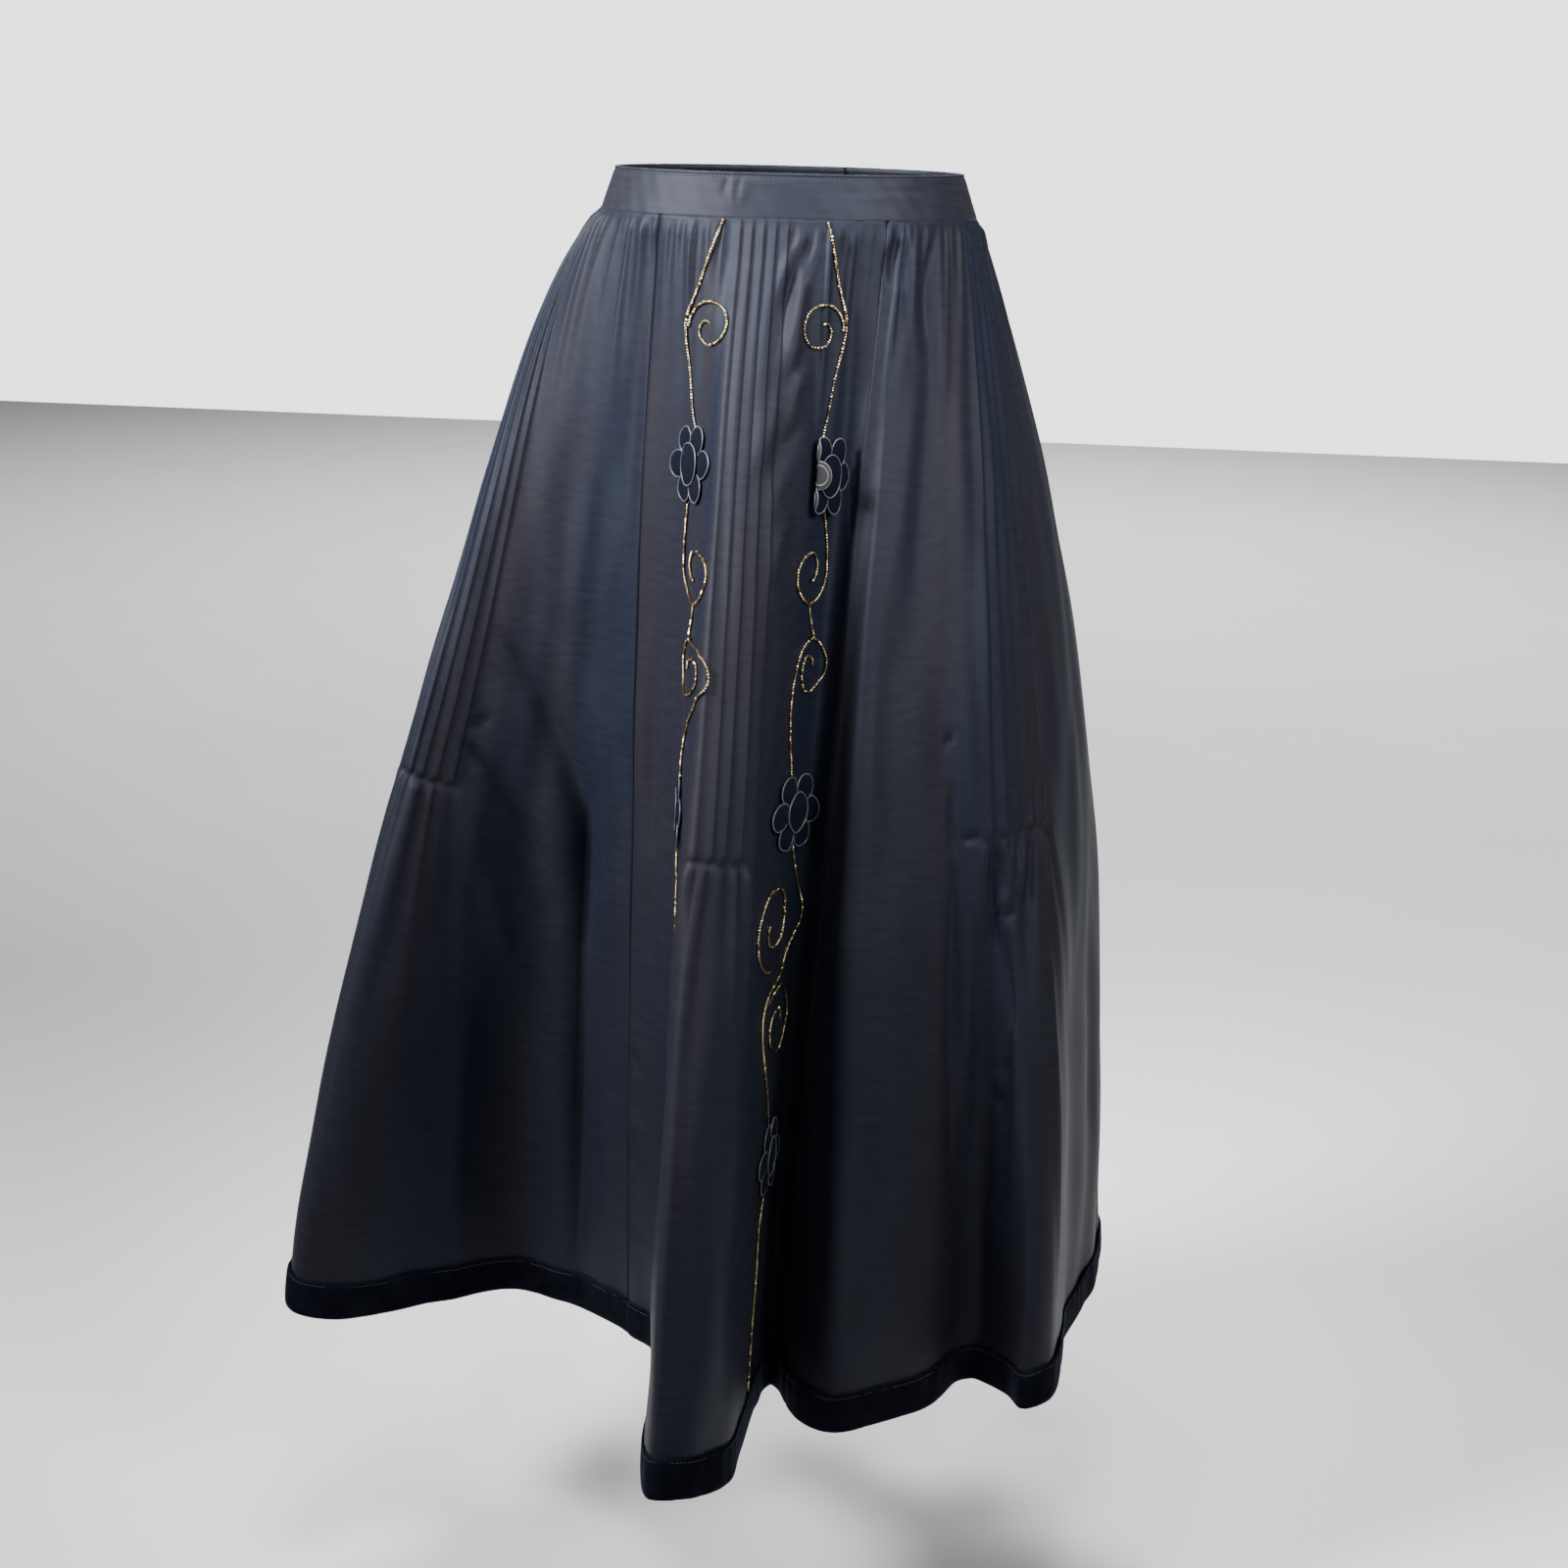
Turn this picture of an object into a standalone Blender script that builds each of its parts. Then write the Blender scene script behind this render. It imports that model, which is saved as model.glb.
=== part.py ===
"""Floor-length gored skirt, filled out as it is worn, with released pintucks, gathers and a velvet hem.

Metres, +Z up. The origin is the middle of the waist, at the seam under the waistband. The front
faces -Y. Left and right are the wearer's, so the left side of the skirt is at +X.
Angles go round the waist from the centre front towards +X.
"""

import math

import bpy
import numpy as np
from mathutils import Matrix

# Waist and waistband, as half widths of ellipses
WAIST_HALF_WIDTH = 0.1345
WAIST_HALF_DEPTH = 0.1000
BAND_TOP_HALF_WIDTH = 0.1240
BAND_TOP_HALF_DEPTH = 0.0920
BAND_HEIGHT = 0.0310
BAND_WALL = 0.0022
BAND_COLUMNS = 85
BAND_OVERLAP_DEG = 14.0
BAND_RAMP_AHEAD_DEG = 20.0
BAND_RAMP_DEG = 18.0

# Cloth of the gores
CLOTH_LENGTH = 0.868
CLOTH_WALL = 0.0018
SEAM_GAP = 0.0003
COLUMN_STEP = 0.0300
BEND_RADIUS = 0.0350
MITRE_LIMIT = 0.6
THREAD_STEPS = 160
LEVELS = (0.0, 0.03, 0.07, 0.13, 0.20, 0.28, 0.38, 0.50, 0.56, 0.66, 0.77, 0.88, 0.967, 1.0)

# Pintucks run down the middle of each gore and are let go part of the way down
TUCKS_IN_GROUP = 5
TUCK_PITCH_DEG = 3.5
TUCK_CREST = 0.72
TUCK_HEIGHT = 0.0013
TUCK_END = 0.505
TUCK_FADE = 0.04

# Gathers puff out just under the waist seam, between the groups of tucks
GATHER_DEPTH = 0.0030
GATHER_COLUMNS = 4
GATHER_FULL = 0.035
GATHER_END = 0.24
GATHER_FREE_BACK_DEG = 12.0

# The folds are even with each other at the waist and part company further down
ENVELOPE_SPREAD_DEG = 15.0
ENVELOPE_SAMPLES = 33
HIP_LEVEL = 0.12

# Hem ribbon, which covers the last row of the gores
RIBBON_WALL = 0.0010

# Velvet flowers of the two vines on the front gore
FLOWER_RADIUS = 0.0285
FLOWER_CENTRE_RADIUS = 0.0085
FLOWER_PETALS = 6
FLOWER_PETAL_STEPS = 5
FLOWER_HEIGHT = 0.0042
FLOWER_EDGE = 0.0012
FLOWER_LIFT = 0.0005
FLOWER_RINGS = (0.34, 0.70, 1.0)
PETAL_NOTCH = 0.70
PETAL_ROUNDNESS = 0.7
PETAL_SEAM_HEIGHT = 0.55
PADDING_MIDDLE = 0.575
PADDING_REACH = 0.433

# Centre back fastening
ZIP_LENGTH_SHARE = 0.215
ZIP_TAPE_TOP_SHARE = 0.006
ZIP_TAPE_HALF_WIDTH = 0.011
ZIP_TAPE_COLUMNS = (1.0, 0.55, 0.12)
ZIP_TAPE_ROWS = 8
ZIP_TAPE_WALL = 0.0008
ZIP_TAPE_GAP = 0.0004
SLIDER_SIZE = (0.0062, 0.0040, 0.0090)
SLIDER_LEVEL = 0.014
EAR_SIZE = (0.0011, 0.0028, 0.0026)
PULL_WIDTH = 0.0056
PULL_NECK_WIDTH = 0.0032
PULL_LENGTH = 0.0210
PULL_OUTLINE_STEPS = 28
PULL_ROUNDNESS = 0.6
PULL_WALL = 0.0012
PULL_ABOVE_AXIS = 0.0009
PULL_AXIS_OUT = 0.0013
BUTTON_RADIUS = 0.0070
BUTTON_WALL = 0.0026
BUTTON_HOLE_RADIUS = 0.0009
BUTTON_HOLE_OUT = 0.0019
BUTTON_BEFORE_BACK_DEG = 5.9
SMALL_ROUND = 0.0006

# Short distances along the cloth from which its directions are measured
PROBE_DEG = 0.5
PROBE_SHARE = 0.01
BACK_PROBE_SHARE = 0.04
SEAM_SIDE_DEG = 0.01

# Each row is a ridge or a valley of the hem: where its cloth leaves the waist, where it arrives at
# the hem, how far out it hangs there, how early it swings out, the level where the fold begins, and
# how far the cloth swells over the hip. Levels are shares of the cloth's length. A fold may hang a
# little longer than the rest.
FOLD_NAMES = ("fold", "waist_deg", "hem_deg", "hem_reach", "swing", "starts", "hip", "longer")
FOLDS = (
    ("front fold, crease", -9.0, -5.2, 0.336, 1.30, 0.03, 0.000, 0.010),
    ("front fold, middle", -2.0, -1.5, 0.322, 1.30, 0.03, 0.000, 0.010),
    ("front fold, left edge", 6.0, 2.5, 0.284, 1.30, 0.03, 0.000, 0.009),
    ("front fold, left wall", 13.0, 3.5, 0.220, 1.35, 0.03, 0.000, 0.004),
    ("left vine", 19.0, 4.8, 0.165, 1.40, 0.02, 0.000, 0.000),
    ("front valley, near side", 24.5, 7.0, 0.131, 1.60, 0.00, 0.000, 0.000),
    ("front valley", 29.0, 10.5, 0.116, 1.60, 0.00, 0.000, 0.000),
    ("front valley, far side", 33.5, 14.2, 0.132, 1.60, 0.00, 0.000, 0.000),
    ("big fold, right edge", 38.5, 16.0, 0.180, 1.60, 0.00, 0.000, 0.000),
    ("big fold, crest", 45.0, 22.0, 0.212, 1.70, 0.00, 0.000, 0.000),
    ("big fold, middle", 53.0, 34.0, 0.204, 1.90, 0.10, 0.000, 0.000),
    ("big fold, left", 60.0, 47.0, 0.198, 2.20, 0.30, 0.000, 0.000),
    ("side valley", 65.0, 57.5, 0.189, 2.40, 0.45, 0.000, 0.000),
    ("side valley, far side", 69.0, 62.5, 0.200, 2.40, 0.50, 0.000, 0.000),
    ("side fold, front edge", 73.5, 60.0, 0.234, 2.40, 0.50, 0.000, 0.000),
    ("side fold, crest", 78.0, 56.0, 0.260, 2.40, 0.50, 0.000, 0.000),
    ("side fold, back edge", 84.0, 60.0, 0.267, 2.50, 0.45, 0.000, 0.000),
    ("narrow side valley", 94.0, 82.0, 0.240, 2.80, 0.40, 0.000, 0.000),
    ("left flank", 103.0, 98.0, 0.256, 3.00, 0.30, 0.000, 0.000),
    ("left flank, behind", 111.0, 109.0, 0.279, 3.00, 0.20, 0.000, 0.000),
    ("left back fold", 122.0, 122.0, 0.300, 2.20, 0.15, 0.004, 0.000),
    ("left back valley", 134.0, 136.0, 0.236, 1.90, 0.15, 0.006, 0.000),
    ("left back ridge", 147.0, 149.0, 0.318, 1.60, 0.12, 0.008, 0.000),
    ("left back hollow", 162.0, 163.0, 0.248, 1.50, 0.28, 0.008, 0.000),
    ("centre back ridge", 180.0, 180.0, 0.308, 1.45, 0.30, 0.008, 0.000),
    ("right back hollow", 198.0, 196.0, 0.252, 1.45, 0.28, 0.008, 0.000),
    ("right back ridge", 213.0, 211.0, 0.324, 1.45, 0.12, 0.010, 0.000),
    ("right back valley", 226.0, 225.0, 0.252, 1.45, 0.15, 0.010, 0.000),
    ("right back fold", 238.0, 238.0, 0.326, 1.45, 0.18, 0.012, 0.000),
    ("right flank valley", 250.0, 252.0, 0.282, 1.45, 0.20, 0.014, 0.000),
    ("right flank", 259.5, 268.0, 0.336, 1.45, 0.10, 0.014, 0.000),
    ("right wing, behind", 266.5, 282.0, 0.365, 1.45, 0.05, 0.014, 0.000),
    ("right wing, edge", 271.0, 288.0, 0.374, 1.45, 0.03, 0.014, 0.004),
    ("right wing, tip", 275.5, 290.0, 0.366, 1.45, 0.03, 0.014, 0.006),
    ("right wing, tucks", 281.5, 289.0, 0.342, 1.45, 0.05, 0.013, 0.007),
    ("right wing, front", 289.0, 284.5, 0.300, 1.45, 0.15, 0.012, 0.005),
    ("right wing, sinking", 297.0, 278.5, 0.252, 1.50, 0.25, 0.009, 0.000),
    ("right hollow", 306.0, 270.5, 0.197, 1.60, 0.33, 0.006, 0.000),
    ("right hollow, front", 313.0, 275.0, 0.152, 1.70, 0.33, 0.003, 0.000),
    ("right seam", 323.0, 294.0, 0.112, 1.80, 0.20, 0.000, 0.000),
    ("right vine panel", 331.0, 313.0, 0.104, 1.80, 0.05, 0.000, 0.000),
    ("hidden front valley", 338.0, 335.0, 0.124, 1.70, 0.03, 0.000, 0.000),
    ("front fold, right wall", 345.0, 347.0, 0.222, 1.45, 0.03, 0.000, 0.006),
)

# Each gore: its two seams and the middle of its tucks, as angles round the waist
GORE_NAMES = ("gore", "from_deg", "to_deg", "tucks_deg")
GORES = (
    ("front_gore", -36.0, 36.0, -2.5),
    ("left_side_gore", 36.0, 112.0, 76.5),
    ("left_back_gore", 112.0, 180.0, 147.0),
    ("right_back_gore", 180.0, 248.0, 213.0),
    ("right_side_gore", 248.0, 324.0, 279.5),
)

# Flowers: where each sits, by waist angle and by share of the cloth's length
FLOWER_NAMES = ("flower", "waist_deg", "level")
FLOWERS = (
    ("flower_left_upper", 24.5, 0.200),
    ("flower_left_middle", 22.0, 0.475),
    ("flower_left_lower", 20.5, 0.770),
    ("flower_right_upper", -20.5, 0.195),
    ("flower_right_middle", -18.5, 0.475),
    ("flower_right_lower", -18.5, 0.770),
)

# Base colour, roughness and metallic value of each finish
FINISHES = {
    "taffeta": ((0.028, 0.036, 0.058), 0.42, 0.0),
    "waistband_taffeta": ((0.030, 0.038, 0.060), 0.42, 0.0),
    "velvet": ((0.006, 0.008, 0.016), 0.95, 0.0),
    "flower_velvet": ((0.008, 0.010, 0.019), 0.90, 0.0),
    "zip_tape": ((0.020, 0.024, 0.038), 0.80, 0.0),
    "zip_metal": ((0.060, 0.070, 0.095), 0.35, 0.6),
    "button": ((0.015, 0.018, 0.030), 0.25, 0.0),
}


def rows_of(names, rows):
    """The rows of a table, each with its values by column name."""
    return [dict(zip(names, row)) for row in rows]


def column_of(names, rows, wanted):
    """One named column of a table, as numbers."""
    return np.array([row[wanted] for row in rows_of(names, rows)], float)


def smooth_through(at, places, values):
    """A smooth curve through the values that never overshoots a ridge or a valley."""
    step = np.diff(places)
    slope = np.diff(values) / step
    tangent = np.zeros(len(values))
    same_way = slope[:-1] * slope[1:] > 0
    weight_a = 2 * step[1:] + step[:-1]
    weight_b = step[1:] + 2 * step[:-1]
    safe_a = np.where(same_way, slope[:-1], 1.0)
    safe_b = np.where(same_way, slope[1:], 1.0)
    mean = (weight_a + weight_b) / (weight_a / safe_a + weight_b / safe_b)
    tangent[1:-1] = np.where(same_way, mean, 0.0)
    at = np.asarray(at, float)
    i = np.clip(np.searchsorted(places, at, side="right") - 1, 0, len(step) - 1)
    h = step[i]
    x = (at - places[i]) / h
    rise = 3 * x**2 - 2 * x**3
    return (
        values[i] * (1 - rise)
        + values[i + 1] * rise
        + h * tangent[i] * x * (1 - x) ** 2
        - h * tangent[i + 1] * x**2 * (1 - x)
    )


def smooth_step(x):
    """0 up to 0 and 1 from 1 on, with an even change between."""
    x = np.clip(x, 0.0, 1.0)
    return x * x * (3 - 2 * x)


def fold_value(wanted, waist_deg):
    """A column of the table of folds, at any angle round the waist."""
    places = column_of(FOLD_NAMES, FOLDS, "waist_deg")
    values = column_of(FOLD_NAMES, FOLDS, wanted)
    turn = 360.0 if wanted == "hem_deg" else 0.0
    # The hem angles are written from 0 to 360 on the right, as the waist angles are
    places = np.concatenate([places - 360, places, places + 360])
    values = np.concatenate([values - turn, values, values + turn])
    return smooth_through(np.asarray(waist_deg, float), places, values)


def on_waist(waist_deg, half_width=WAIST_HALF_WIDTH, half_depth=WAIST_HALF_DEPTH):
    """The point of the waist ellipse at this angle, seen from above."""
    a = np.radians(waist_deg)
    return np.stack([half_width * np.sin(a), -half_depth * np.cos(a)], axis=-1)


def on_hem(waist_deg):
    """Where the cloth of this waist angle arrives at the hem, seen from above."""
    a = np.radians(fold_value("hem_deg", waist_deg))
    reach = fold_value("hem_reach", waist_deg)[..., None]
    return reach * np.stack([np.sin(a), -np.cos(a)], axis=-1)


def on_envelope(waist_deg):
    """The hem with its folds smoothed away, which the upper skirt follows."""
    offsets = np.linspace(-2.0, 2.0, ENVELOPE_SAMPLES) * ENVELOPE_SPREAD_DEG
    weights = np.exp(-0.5 * (offsets / ENVELOPE_SPREAD_DEG) ** 2)
    weights = weights / weights.sum()
    spread = on_hem(np.asarray(waist_deg, float)[:, None] + offsets)
    return (spread * weights[None, :, None]).sum(axis=1)


def plan_of_cloth(waist_deg, level):
    """The cloth seen from above: an array of levels by waist angles by x and y."""
    waist_deg = np.asarray(waist_deg, float)
    level = np.asarray(level, float)[:, None]
    waist = on_waist(waist_deg)
    envelope = on_envelope(waist_deg)
    swing = fold_value("swing", waist_deg)
    starts = fold_value("starts", waist_deg)
    out = 1 - (1 - level) ** swing
    fold = np.clip((level - starts) / (1 - starts), 0, 1)
    hip = fold_value("hip", waist_deg) * level / HIP_LEVEL * np.exp(1 - level / HIP_LEVEL)
    away = waist / np.linalg.norm(waist, axis=1, keepdims=True)
    return (
        waist
        + (envelope - waist) * out[..., None]
        + (on_hem(waist_deg) - envelope) * fold[..., None]
        + away * hip[..., None]
    )


def middle_of_cloth(waist_deg, level):
    """The middle of the cloth in space. It falls so that each thread keeps its length."""
    fine = np.linspace(0.0, 1.0, THREAD_STEPS + 1)
    plan = plan_of_cloth(waist_deg, fine)
    across = np.linalg.norm(np.diff(plan, axis=0), axis=2)
    length = CLOTH_LENGTH + fold_value("longer", waist_deg)
    along = length * np.diff(fine)[:, None]
    drop = np.sqrt(along**2 - across**2)
    height = np.concatenate([np.zeros((1, len(waist_deg))), -np.cumsum(drop, axis=0)])
    space = np.concatenate([plan, height[..., None]], axis=2)
    place = np.asarray(level, float) * THREAD_STEPS
    i = np.minimum(place.astype(int), THREAD_STEPS - 1)
    rest = (place - i)[:, None, None]
    return space[i] * (1 - rest) + space[i + 1] * rest


def outward(points):
    """Level vectors that point out of the cloth, lengthened at bends so that walls stay parallel."""
    chord = np.diff(points[..., :2], axis=1)
    chord = chord / np.linalg.norm(chord, axis=2, keepdims=True)
    before = np.concatenate([chord[:, :1], chord], axis=1)
    after = np.concatenate([chord, chord[:, -1:]], axis=1)
    along = before + after
    along = along / np.linalg.norm(along, axis=2, keepdims=True)
    mitre = 1 / np.maximum((along * after).sum(axis=2, keepdims=True), MITRE_LIMIT)
    along = along * mitre
    flat = np.zeros(along.shape[:2])
    return np.stack([along[..., 1], -along[..., 0], flat], axis=2)


def tuck_columns(middle_deg):
    """The root and the crest of each tuck of a group."""
    first = middle_deg - TUCKS_IN_GROUP * TUCK_PITCH_DEG / 2
    roots = first + TUCK_PITCH_DEG * np.arange(TUCKS_IN_GROUP + 1)
    crests = roots[:-1] + TUCK_CREST * TUCK_PITCH_DEG
    return np.sort(np.concatenate([roots, crests]))


def spread_columns(from_deg, to_deg):
    """Columns between two angles, even along hem and waist taken together, and closer at bends."""
    fine = np.linspace(from_deg, to_deg, 200)
    chord = np.diff(on_hem(fine), axis=0)
    hem = np.linalg.norm(chord, axis=1)
    waist = np.linalg.norm(np.diff(on_waist(fine), axis=0), axis=1)
    heading = np.unwrap(np.arctan2(chord[:, 1], chord[:, 0]))
    bend = np.abs(np.diff(heading, prepend=heading[0]))
    run = np.concatenate([[0.0], np.cumsum(hem + waist + BEND_RADIUS * bend)])
    count = GATHER_COLUMNS * max(1, round(run[-1] / COLUMN_STEP / GATHER_COLUMNS))
    return np.interp(np.linspace(0, run[-1], count + 1), run, fine)


def gore_columns(gore):
    """The columns of a gore, with the depth of its tucks and of its gathers at each."""
    tucks = tuck_columns(gore["tucks_deg"])
    before = spread_columns(gore["from_deg"], tucks[0])
    after = spread_columns(tucks[-1], gore["to_deg"])
    columns = np.concatenate([before[:-1], tucks, after[1:]])
    crest = np.zeros(len(columns))
    crest[len(before) : len(before) + len(tucks) - 2 : 2] = 1.0
    wave = np.zeros(len(columns))
    for start, count in ((0, len(before)), (len(columns) - len(after), len(after))):
        phase = np.arange(count) / GATHER_COLUMNS
        wave[start : start + count] = 0.5 - 0.5 * np.cos(2 * math.pi * phase)
    from_back = np.abs(columns % 360.0 - 180.0)
    wave = wave * smooth_step(from_back / GATHER_FREE_BACK_DEG - 0.5)
    return columns, crest, wave


def cloth_ring():
    """All columns of the skirt with its outer and inner points, and where each gore begins and ends."""
    gores = rows_of(GORE_NAMES, GORES)
    parts = [gore_columns(gore) for gore in gores]
    columns = np.concatenate([part[0][:-1] for part in parts])
    crest = np.concatenate([part[1][:-1] for part in parts])
    wave = np.concatenate([part[2][:-1] for part in parts])
    level = np.array(LEVELS)
    points = middle_of_cloth(columns, level)
    out = outward(around(points))[:, 1:-1]
    puff = smooth_step(level / GATHER_FULL) * (1 - smooth_step(level / GATHER_END))
    points = points + out * (GATHER_DEPTH * puff[:, None] * wave)[..., None]
    held = 1 - smooth_step((level - TUCK_END) / TUCK_FADE + 0.5)
    tuck = TUCK_HEIGHT * held[:, None] * crest
    out = outward(around(points))[:, 1:-1]
    outer = points + out * (CLOTH_WALL / 2 + tuck)[..., None]
    inner = points - out * (CLOTH_WALL / 2)
    ends = np.cumsum([0] + [len(part[0]) - 1 for part in parts])
    spans = {gore["gore"]: (ends[k], ends[k + 1]) for k, gore in enumerate(gores)}
    return columns, outer, inner, spans


def around(points):
    """The columns of a closed ring with the last one put before it and the first one after it."""
    return np.concatenate([points[:, -1:], points, points[:, :1]], axis=1)


def gore_wall(wall, span):
    """The points of one gore out of the ring, drawn back from its seams by half their gap."""
    taken = np.concatenate([wall, wall[:, :1]], axis=1)[:, span[0] : span[1] + 1].copy()
    first = taken[:, 1] - taken[:, 0]
    last = taken[:, -2] - taken[:, -1]
    taken[:, 0] += SEAM_GAP / 2 * first / np.linalg.norm(first, axis=1, keepdims=True)
    taken[:, -1] += SEAM_GAP / 2 * last / np.linalg.norm(last, axis=1, keepdims=True)
    return taken


def finish_material(name):
    """A plain material with the colour and the gloss of one finish."""
    if name in bpy.data.materials:
        return bpy.data.materials[name]
    colour, roughness, metallic = FINISHES[name]
    material = bpy.data.materials.new(name)
    material.use_nodes = True
    shader = material.node_tree.nodes["Principled BSDF"]
    shader.inputs["Base Color"].default_value = (*colour, 1.0)
    shader.inputs["Roughness"].default_value = roughness
    shader.inputs["Metallic"].default_value = metallic
    material.diffuse_color = (*colour, 1.0)
    return material


def add_object(name, points, faces, finish, sharp_deg=40.0):
    """A named object with its own mesh and material, shaded smooth but for its sharp edges."""
    mesh = bpy.data.meshes.new(name)
    mesh.from_pydata([tuple(p) for p in points], [], [tuple(f) for f in faces])
    mesh.validate()
    mesh.shade_smooth()
    mesh.set_sharp_from_angle(angle=math.radians(sharp_deg))
    mesh.materials.append(finish_material(finish))
    made = bpy.data.objects.new(name, mesh)
    bpy.context.scene.collection.objects.link(made)
    return made


def wall_faces(rows, columns, ring=False):
    """Triangles of a wall whose outer points come first and whose inner points follow."""
    size = rows * columns
    faces = []
    last = columns if ring else columns - 1
    for j in range(last):
        k = (j + 1) % columns
        for i in range(rows - 1):
            a, b = i * columns + j, i * columns + k
            c, d = a + columns, b + columns
            faces += [(a, c, d), (a, d, b)]
            faces += [(a + size, d + size, c + size), (a + size, b + size, d + size)]
        faces += [(j, k, k + size), (j, k + size, j + size)]
        a, b = (rows - 1) * columns + j, (rows - 1) * columns + k
        faces += [(a, b + size, b), (a, a + size, b + size)]
    if not ring:
        for i in range(rows - 1):
            a, c = i * columns, (i + 1) * columns
            b, d = a + columns - 1, c + columns - 1
            faces += [(a, a + size, c + size), (a, c + size, c)]
            faces += [(b, d, d + size), (b, d + size, b + size)]
    return faces


def add_wall(name, outer, inner, finish, ring=False):
    """A closed wall between two grids of points, whose rows run downwards."""
    rows, columns = outer.shape[:2]
    points = np.concatenate([outer.reshape(-1, 3), inner.reshape(-1, 3)])
    return add_object(name, points, wall_faces(rows, columns, ring), finish)


def on_facets(columns, wall, waist_deg, level):
    """Points on the flat facets of a wall, and each facet's way out."""
    j = np.clip(np.searchsorted(columns, waist_deg, side="right") - 1, 0, len(columns) - 2)
    i = np.clip(np.searchsorted(LEVELS, level, side="right") - 1, 0, len(LEVELS) - 2)
    levels = np.array(LEVELS)
    x = (waist_deg - columns[j]) / (columns[j + 1] - columns[j])
    y = (level - levels[i]) / (levels[i + 1] - levels[i])
    a, b = wall[i, j], wall[i, j + 1]
    c, d = wall[i + 1, j], wall[i + 1, j + 1]
    lower = (y > x)[:, None]
    x, y = x[:, None], y[:, None]
    point = np.where(lower, a + (c - a) * y + (d - c) * x, a + (b - a) * x + (d - b) * y)
    way = np.where(lower, np.cross(c - a, d - a), np.cross(d - a, b - a))
    return point, way / np.linalg.norm(way, axis=1, keepdims=True)


def flower_outline(angle):
    """The reach of the flower's edge: rounded petals with a notch between each two."""
    petal = np.abs(np.cos(FLOWER_PETALS * angle / 2))
    return FLOWER_RADIUS * (PETAL_NOTCH + (1 - PETAL_NOTCH) * petal**PETAL_ROUNDNESS)


def flower_height(radius, angle):
    """How far the padded velvet stands off the cloth."""
    edge = flower_outline(angle)
    share = np.clip(radius / edge, 0, 1)
    petal = np.abs(np.cos(FLOWER_PETALS * angle / 2))
    petal = PETAL_SEAM_HEIGHT + (1 - PETAL_SEAM_HEIGHT) * petal
    dome = np.sqrt(np.clip(1 - ((share - PADDING_MIDDLE) / PADDING_REACH) ** 2, 0, 1))
    centre = np.sqrt(np.clip(1 - (radius / FLOWER_CENTRE_RADIUS) ** 2, 0, 1))
    return FLOWER_EDGE + (FLOWER_HEIGHT - FLOWER_EDGE) * np.maximum(dome * petal, centre)


def on_front(columns, wall, middle_deg, level, flat):
    """Points laid off flat from a place on the front gore, and the way out of the cloth at each."""
    probe = [middle_deg, middle_deg + PROBE_DEG]
    here = middle_of_cloth(probe, [level, level + PROBE_SHARE])
    across = (here[0, 1] - here[0, 0]) / PROBE_DEG
    down = (here[1, 0] - here[0, 0]) / PROBE_SHARE
    lean = (across @ down) / (down @ down)
    degrees = flat[:, 0] / np.linalg.norm(across - down * lean)
    levels = level - flat[:, 1] / CLOTH_LENGTH - degrees * lean
    point, way = on_facets(columns, wall, middle_deg + degrees, levels)
    mean = way.mean(axis=0)
    way = way + mean / np.linalg.norm(mean)
    return point, way / np.linalg.norm(way, axis=1, keepdims=True)


def pad_faces(steps, rings):
    """Triangles of a flat pad: a middle point and rings on top, then the same points below."""
    size = 1 + rings * steps
    faces = []
    for k in range(steps):
        m = (k + 1) % steps
        faces += [(0, 1 + m, 1 + k), (size, size + 1 + k, size + 1 + m)]
        for ring in range(rings - 1):
            a, b = 1 + ring * steps + k, 1 + ring * steps + m
            c, d = a + steps, b + steps
            faces += [(a, b, d), (a, d, c)]
            faces += [(a + size, d + size, b + size), (a + size, c + size, d + size)]
        c, d = size - steps + k, size - steps + m
        faces += [(c, d, d + size), (c, d + size, c + size)]
    return faces


def add_flower(name, middle_deg, level, columns, wall):
    """A padded velvet flower whose underside follows the facets of the front gore."""
    steps = FLOWER_PETALS * FLOWER_PETAL_STEPS
    angle = 2 * math.pi * np.arange(steps) / steps
    flat = [(0.0, 0.0)]
    height = [FLOWER_HEIGHT]
    for share in FLOWER_RINGS:
        radius = share * flower_outline(angle)
        flat += list(zip(radius * np.sin(angle), radius * np.cos(angle)))
        height += list(flower_height(radius, angle))
    height = np.array(height)[:, None]
    height[-steps:] = FLOWER_EDGE
    point, way = on_front(columns, wall, middle_deg, level, np.array(flat))
    base = point + way * FLOWER_LIFT
    top = base + way * height
    faces = pad_faces(steps, len(FLOWER_RINGS))
    return add_object(name, np.concatenate([top, base]), faces, "flower_velvet", sharp_deg=60.0)


def add_gores():
    """The five gores. It returns their columns and walls by name, and the ring's outer points."""
    columns, outer, inner, spans = cloth_ring()
    closing = np.append(columns, columns[0] + 360.0)
    walls = {}
    for name, span in spans.items():
        faces_out = gore_wall(outer, span)
        faces_in = gore_wall(inner, span)
        add_wall(name, faces_out, faces_in, "taffeta")
        walls[name] = (closing[span[0] : span[1] + 1], faces_out, faces_in)
    return walls, outer


def add_ribbon(ring):
    """The velvet ribbon round the hem, from the gores' outer points moved out."""
    rows = ring[-2:]
    out = outward(around(rows))[:, 1:-1]
    inner = rows + out * SEAM_GAP
    outer = inner + out * RIBBON_WALL
    add_wall("hem_ribbon", outer, inner, "velvet", ring=True)


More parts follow.
